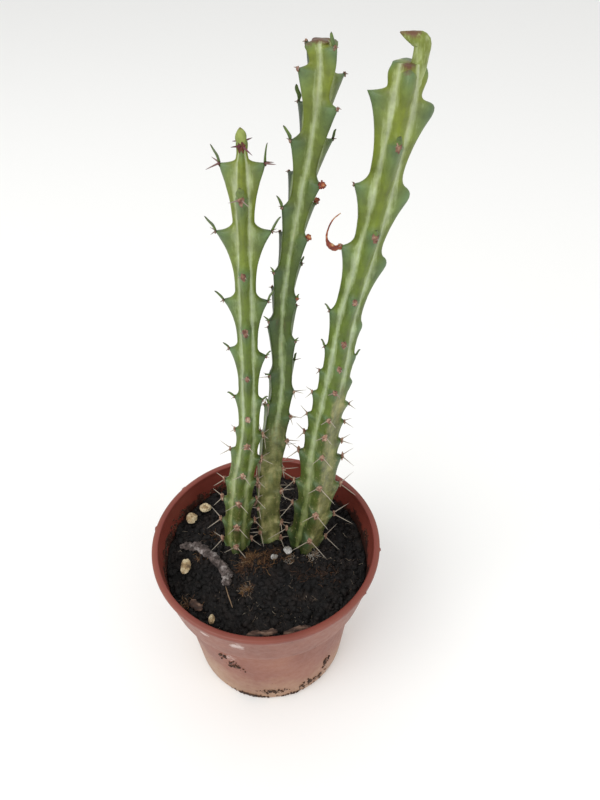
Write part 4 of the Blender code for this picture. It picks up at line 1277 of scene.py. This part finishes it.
# Clumps of old root and coir that came up with the peat, each a tangle of fine curled strands,
# with a thin grey twig beside them.
# x, y, spread, strands, length of a strand, and its shade from dark to light
CLUMPS = (
    (-6.0, -4.0, 3.0, 220, 3.6, 0.48),
    (-9.0, -8.0, 2.4, 120, 3.2, 0.30),
    (-7.1, -16.1, 1.8, 120, 2.8, 0.60),
    (-1.5, -5.0, 3.2, 110, 4.5, 0.36),
    (3.0, -1.0, 3.0, 90, 4.0, 0.30),
    (14.0, -9.0, 5.0, 60, 3.2, 0.14),
    (22.0, -10.0, 5.0, 60, 3.2, 0.22),
    (17.7, -1.2, 2.4, 80, 2.2, 0.85),
    (9.0, -2.5, 2.2, 50, 2.2, 0.75),
    (-25.0, -1.0, 2.0, 40, 2.6, 0.5),
    (-21.0, 9.0, 2.2, 40, 2.6, 0.4),
    (-28.0, -22.0, 2.6, 50, 3.0, 0.5),
)
CLUMP_RISE = 1.6
STRAND_STEPS = 6
STRAND_SIDES = 5
STRAND_CURL = 0.6  # how far a strand turns from one step to the next
STRAND_FLATTENING = 0.7  # how far it keeps its rise from one step to the next
STRAND_RADII = (0.03, 0.085)
TWIG = ((-14.6, -15.0, 0.22), (-13.2, -19.0, 0.2), (-11.4, -23.6, 0.12))  # x, y, radius
TWIG_LIFT = 1.0
TWIG_SIDES = 8
TWIG_SHADE = 0.7

# Coir and dead root: fox brown to straw, matt.
coir, tree, shader, place = new_material("coir_and_root", ior=1.5)
shade_mark = add(tree, "Attribute", attribute_name="shade").outputs["Fac"]
finished = add(
    tree, "ValToRGB", (shade_mark,),
    [(0.0, "#20130d"), (0.4, "#5a3a22"), (0.62, "#86643c"), (0.85, "#8a8278"), (1.0, "#aaa49a")],
)
grain = add(tree, "TexNoise", {"Vector": place, "Scale": 1300.0})
surface(tree, shader, finished, grain, (0.75, 0.95))

draw = random.Random(37)
bodies = []
for x, y, spread, strands, length, shade in CLUMPS:
    for _ in range(strands):
        px, py = x + spread * draw.gauss(0, 0.5), y + spread * draw.gauss(0, 0.5)
        rise = CLUMP_RISE * draw.random() * math.exp(-math.hypot(px - x, py - y) / spread)
        spot = Vector((px, py, soil_top(px, py) + 0.1 + rise))
        aim = Vector((draw.uniform(-1, 1), draw.uniform(-1, 1), draw.uniform(-0.25, 0.5)))
        aim.normalize()
        route = [spot.copy()]
        for _ in range(STRAND_STEPS):
            curl = Vector([draw.uniform(-STRAND_CURL, STRAND_CURL) for _ in range(3)])
            aim = (aim + curl).normalized()
            aim.z *= STRAND_FLATTENING
            spot = spot + aim * length * draw.uniform(0.6, 1.1) / STRAND_STEPS
            spot.z = max(spot.z, soil_top(spot.x, spot.y) + 0.05)
            route.append(spot.copy())
        thick = draw.uniform(*STRAND_RADII)
        tone = clamped(shade + draw.uniform(-0.3, 0.25))
        bodies.append(tube_of(route, [thick] * len(route), STRAND_SIDES, tone))
twig = [Vector((x, y, soil_top(x, y) + TWIG_LIFT)) for x, y, _ in TWIG]
bodies.append(tube_of(twig, [radius for *_, radius in TWIG], TWIG_SIDES, TWIG_SHADE))
points, faces, shades = joined(bodies)
new_piece("root_clumps", points, faces, coir, "potting_soil", shade=shades)

# Peat dried on to the pot: small crusts outside, most of them near the foot, and spatters on the
# inner wall above the soil.
# bearing in degrees, height, spread round and up, how many crumbs, and which side of the wall
SPLASHES = (
    (-111.0, 28.0, 3.6, 2.8, 90, "outside"),
    (-118.0, 33.0, 1.6, 2.4, 24, "outside"),
    (-103.0, 2.2, 7.0, 1.5, 220, "outside"),
    (-86.0, 7.5, 5.0, 2.2, 110, "outside"),
    (-56.0, 6.0, 6.0, 3.0, 110, "outside"),
    (-44.0, 15.0, 2.2, 4.0, 50, "outside"),
    (-72.0, 2.2, 5.0, 1.2, 50, "outside"),
    (8.0, 57.5, 3.6, 2.2, 70, "inside"),
    (165.0, 56.5, 26.0, 2.2, 260, "inside"),
    (120.0, 56.0, 16.0, 1.6, 90, "inside"),
)
draw = random.Random(43)
bodies = []
for degrees, level, wide, tall, crumbs, wall_side in SPLASHES:
    for _ in range(crumbs):
        half = 0.12 + 0.45 * draw.random() ** 3
        height = min(LIP_BOTTOM - 1, max(half, level + tall * draw.gauss(0, 0.5)))
        if wall_side == "inside":
            radius = inner_radius(height) - OUT_OF_ROUND
        else:
            radius = outer_radius(height) + OUT_OF_ROUND
        bearing = math.radians(degrees) + wide * draw.gauss(0, 0.5) / radius
        axes = Matrix.Rotation(bearing, 3, "Z")
        centre = axes @ Vector((radius, 0.0, height))
        sizes = (half * 0.5, half * draw.uniform(0.7, 1.5), half)
        seed, tone = draw.uniform(0, 50), draw.uniform(0.0, 0.3)
        bodies.append(lump_of(centre, axes, sizes, CRUMB_DENT, seed, rounds=1, mark=tone))
points, faces, shades = joined(bodies)
new_piece("dried_splashes", points, faces, coir, "potting_soil", shade=shades)

# ---- Bark, wood chips and grit ----
# What lies loose on the soil: one strip of weathered bark, three chips of wood, four grains of
# pumice and two lumps of perlite.

# x and y are shares of the soil's radius
BARK_STRIP = (
    (-0.89, 0.07), (-0.78, 0.09), (-0.68, 0.07), (-0.58, -0.02), (-0.46, -0.13), (-0.38, -0.27),
    (-0.38, -0.39),
)
BARK_WIDTH = 4.2
BARK_THICKNESS = 2.2

# Weathered bark: brown-grey fibres with dark cracks and a pale crust of salts on the ridges.
bark, tree, shader, place = new_material("weathered_bark", ior=1.5)
fibres = add(tree, "TexNoise", {"Vector": place, "Scale": 650.0, "Detail": 6.0, "Roughness": 0.75})
crust = add(tree, "TexNoise", {"Vector": place, "Scale": 260.0, "Detail": 5.0, "Roughness": 0.7})
grey = add(tree, "ValToRGB", (fibres,), [(0.36, "#1c1614"), (0.5, "#4a403c"), (0.64, "#776b67")])
crusted = add(tree, "ValToRGB", (crust,), [(0.54, 0.0), (0.62, 0.85)])
finished = add(tree, "MixRGB", (crusted, grey, "#a09894"))
surface(tree, shader, finished, fibres, (0.8, 0.95), (0.9, 0.0008))

BARK_STEPS = 16
BARK_SIDES = 36
BARK_END = 8  # steps that the strip narrows over at each end
# how far each size of unevenness reaches as a share of the strip's half width, and its spacing
BARK_RAGGED = ((0.55, 2.6), (0.40, 1.0), (0.22, 0.45))
bark_low, bark_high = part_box("bark_strip")
level = (bark_low.z + bark_high.z) / 2 / MM
rows = smoothed([(x * SOIL_RADIUS, y * SOIL_RADIUS, level) for x, y in BARK_STRIP], BARK_STEPS)
route = [Vector(row) for row in rows]
half = BARK_WIDTH / 2
ends = [min(i, len(route) - 1 - i) / BARK_END for i in range(len(route))]
widths = [half * (0.35 + 0.5 * min(1.0, end)) for end in ends]
points, faces, _ = tube_of(route, widths, BARK_SIDES)
rough = []
for i, point in enumerate(points):
    centre = route[i // BARK_SIDES]
    away = point - centre
    away.z *= BARK_THICKNESS / BARK_WIDTH
    ragged = 1 + sum(reach * noise.noise(point / gap) for reach, gap in BARK_RAGGED)
    sag = soil_height(centre.x, centre.y) + BARK_THICKNESS / 2 - level
    rough.append(centre + away * ragged + UP * sag)
new_piece("bark_strip_rough", rough, faces, bark, "weathered_bark", ["bark_strip"])

# name: length as a share of the soil's radius, width, heading in degrees
CHIPS = {
    "wood_chip_front_left": (0.288, 3.0, 8.0),
    "wood_chip_front_right": (0.262, 2.6, 14.0),
    "wood_chip_left": (0.157, 3.0, -44.0),
}
CHIP_THICKNESS = 1.6
CHIP_ROWS = 60
CHIP_SIDES = 28

# Chipped wood: dark brown with long torn fibres, bleached where it has lain uppermost.
wood, tree, shader, place = new_material("torn_wood", ior=1.5)
stretch = add(tree, "Mapping", {"Vector": place, "Scale": (0.25, 1.0, 1.0)})
fibres = add(tree, "TexNoise", {"Vector": stretch, "Scale": 900.0, "Detail": 5.0})
finished = add(
    tree, "ValToRGB", (fibres,),
    [(0.3, "#241813"), (0.5, "#4a342a"), (0.66, "#7d6353"), (0.78, "#a18c7c")],
)
surface(tree, shader, finished, fibres, (0.75, 0.95), (0.8, 0.0005))

for name, (length, width, heading) in CHIPS.items():
    low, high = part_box(name)
    length *= SOIL_RADIUS
    centre = (low + high) / 2 / MM
    turned = Matrix.Rotation(math.radians(heading), 3, "Z")
    points = []
    for row in range(CHIP_ROWS + 1):
        t = 2 * row / CHIP_ROWS - 1
        narrow = 0.8 * (1 - t**4) ** 0.5 + 0.05
        for k in range(CHIP_SIDES):
            angle = math.tau * k / CHIP_SIDES
            shape = Vector((t * length / 2, width / 2 * narrow * math.cos(angle),
                            CHIP_THICKNESS / 2 * narrow * math.sin(angle)))
            # The noise is drawn out along the grain, and starts elsewhere on each chip.
            spot = Vector((shape.x / 2.5, shape.y * 1.2, shape.z * 1.2 + length))
            torn = 1 + 0.6 * noise.noise(spot) + 0.45 * noise.noise(spot * 3)
            shape.y *= torn
            shape.z *= torn
            points.append(centre + turned @ shape)
    faces = tube_faces(CHIP_ROWS + 1, CHIP_SIDES)
    new_piece(name + "_torn", points, faces, wood, "wood_chip", [name])

# stone, name of its grains, how many, and its light and middle tones
GRAINS = (
    ("pumice", "pumice_grain", 4, "#d8c8a4", "#a9906a"),
    ("perlite", "perlite_lump", 2, "#cfcdca", "#97948f"),
)
FACETS = 14  # broken faces on each grain
FACET_DEPTHS = (0.72, 0.98)  # how far out a broken face lies, as a share of the grain's half size
PIT_SPACING = 0.75
PIT_DEPTH = 0.30
FRET = 0.07
FRET_SPACING = 0.35
draw = random.Random(41)

for stone, grain_name, grain_count, light_tone, mid_tone in GRAINS:
    # Expanded volcanic glass, full of pits: chalky and matt, darker in the hollows.
    stone_skin, tree, shader, place = new_material(stone + "_grit", ior=1.5)
    stain = add(tree, "TexNoise", {"Vector": place, "Scale": 350.0, "Detail": 5.0})
    pits = add(tree, "TexVoronoi", {"Vector": place, "Scale": 1500.0})
    tone = add(tree, "ValToRGB", (stain,), [(0.3, "#6b563c"), (0.45, mid_tone), (0.6, light_tone)])
    hollow = add(tree, "ValToRGB", (pits,), [(0.08, "#4c3f32"), (0.34, "#ffffff")])
    finished = add(tree, "MixRGB", (0.8, tone, hollow), blend_type="MULTIPLY")
    surface(tree, shader, finished, stain, (0.8, 0.95), (0.7, 0.0004), pits)
    for name in (f"{grain_name}_{i + 1}" for i in range(grain_count)):
        low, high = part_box(name)
        centre = (low + high) / 2 / MM
        sizes = (high - low) / 2 / MM
        facets = []
        for _ in range(FACETS):
            aim = Vector([draw.uniform(-1, 1) for _ in range(3)]).normalized()
            facets.append((aim, draw.uniform(*FACET_DEPTHS)))
        bm = bmesh.new()
        bmesh.ops.create_icosphere(bm, subdivisions=5, radius=1.0)
        points = []
        for vert in bm.verts:
            ball = vert.co
            reach = min(1.0, min(far / max(ball.dot(aim), 0.01) for aim, far in facets))
            spot = ball * sizes.length / 2 + centre
            pit = min(0.0, noise.noise(spot / PIT_SPACING) + 0.12) * PIT_DEPTH * 2
            fret = FRET * noise.noise(spot / FRET_SPACING)
            local = Vector([a * b * (reach + fret + pit) for a, b in zip(ball, sizes)])
            points.append(centre + local)
        faces = [tuple(vert.index for vert in face.verts) for face in bm.faces]
        bm.free()
        new_piece(name + "_pitted", points, faces, stone_skin, stone, [name])

# ---- The studio ----
# A plain pale floor, a white sky for soft light, and two large soft lamps in front of the plant:
# a key lamp on the left, and a weaker one on the right that fills the shadows.

floor_mesh = bpy.data.meshes.new("floor")
FLOOR_HALF = 6.0  # in metres
PAPER_ROUGHNESS = 0.9
SKY_STRENGTH = 0.85
corners = [(-FLOOR_HALF, -FLOOR_HALF), (FLOOR_HALF, -FLOOR_HALF), (FLOOR_HALF, FLOOR_HALF)]
corners.append((-FLOOR_HALF, FLOOR_HALF))
floor_mesh.from_pydata([(x, y, 0.0) for x, y in corners], [], [(0, 1, 2, 3)])
paper, _, shader, _ = new_material("pale_paper", ior=1.45)
shader.inputs["Base Color"].default_value = linear("#f4f4f2")
shader.inputs["Roughness"].default_value = PAPER_ROUGHNESS
floor_mesh.materials.append(paper)
floor = bpy.data.objects.new("floor", floor_mesh)
bpy.context.scene.collection.objects.link(floor)
floor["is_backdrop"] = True

world = bpy.data.worlds.new("soft_white")
world.use_nodes = True
sky = world.node_tree.nodes["Background"]
sky.inputs["Color"].default_value = linear("#ffffff")
sky.inputs["Strength"].default_value = SKY_STRENGTH
bpy.context.scene.world = world
bpy.context.scene.view_settings.view_transform = "Standard"

LAMPS = {  # name: place in metres, size in metres, power in watts
    "key": ((-0.7, -0.6, 1.1), 0.9, 9.0),
    "fill": ((0.8, -0.7, 0.7), 0.9, 3.0),
}
target = (cad_box[0] + cad_box[1]) / 2
for name, (spot, size, power) in LAMPS.items():
    light = bpy.data.lights.new(name, "AREA")
    light.size = size
    light.energy = power
    lamp = bpy.data.objects.new(name, light)
    lamp.location = spot
    lamp.rotation_mode = "QUATERNION"
    lamp.rotation_quaternion = (target - Vector(spot)).to_track_quat("-Z", "Y")
    bpy.context.scene.collection.objects.link(lamp)

CAMERA_PLACE = (0.0127, -0.1502, 0.2593)
CAMERA_PITCH = 40.24  # degrees below the horizon
LENS = 28.8  # focal length in millimetres
SENSOR_WIDTH = 36.0
CLIP_START = 0.01
camera = bpy.data.objects.new("camera", bpy.data.cameras.new("camera"))
camera.data.lens = LENS
camera.data.sensor_width = SENSOR_WIDTH
camera.data.clip_start = CLIP_START
camera.location = CAMERA_PLACE
camera.rotation_euler = (math.radians(90 - CAMERA_PITCH), 0.0, 0.0)
bpy.context.scene.collection.objects.link(camera)
bpy.context.scene.camera = camera

seen_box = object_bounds()
sizes = {
    "cad": [list(corner) for corner in cad_box],
    "visual": [list(corner) for corner in seen_box],
}
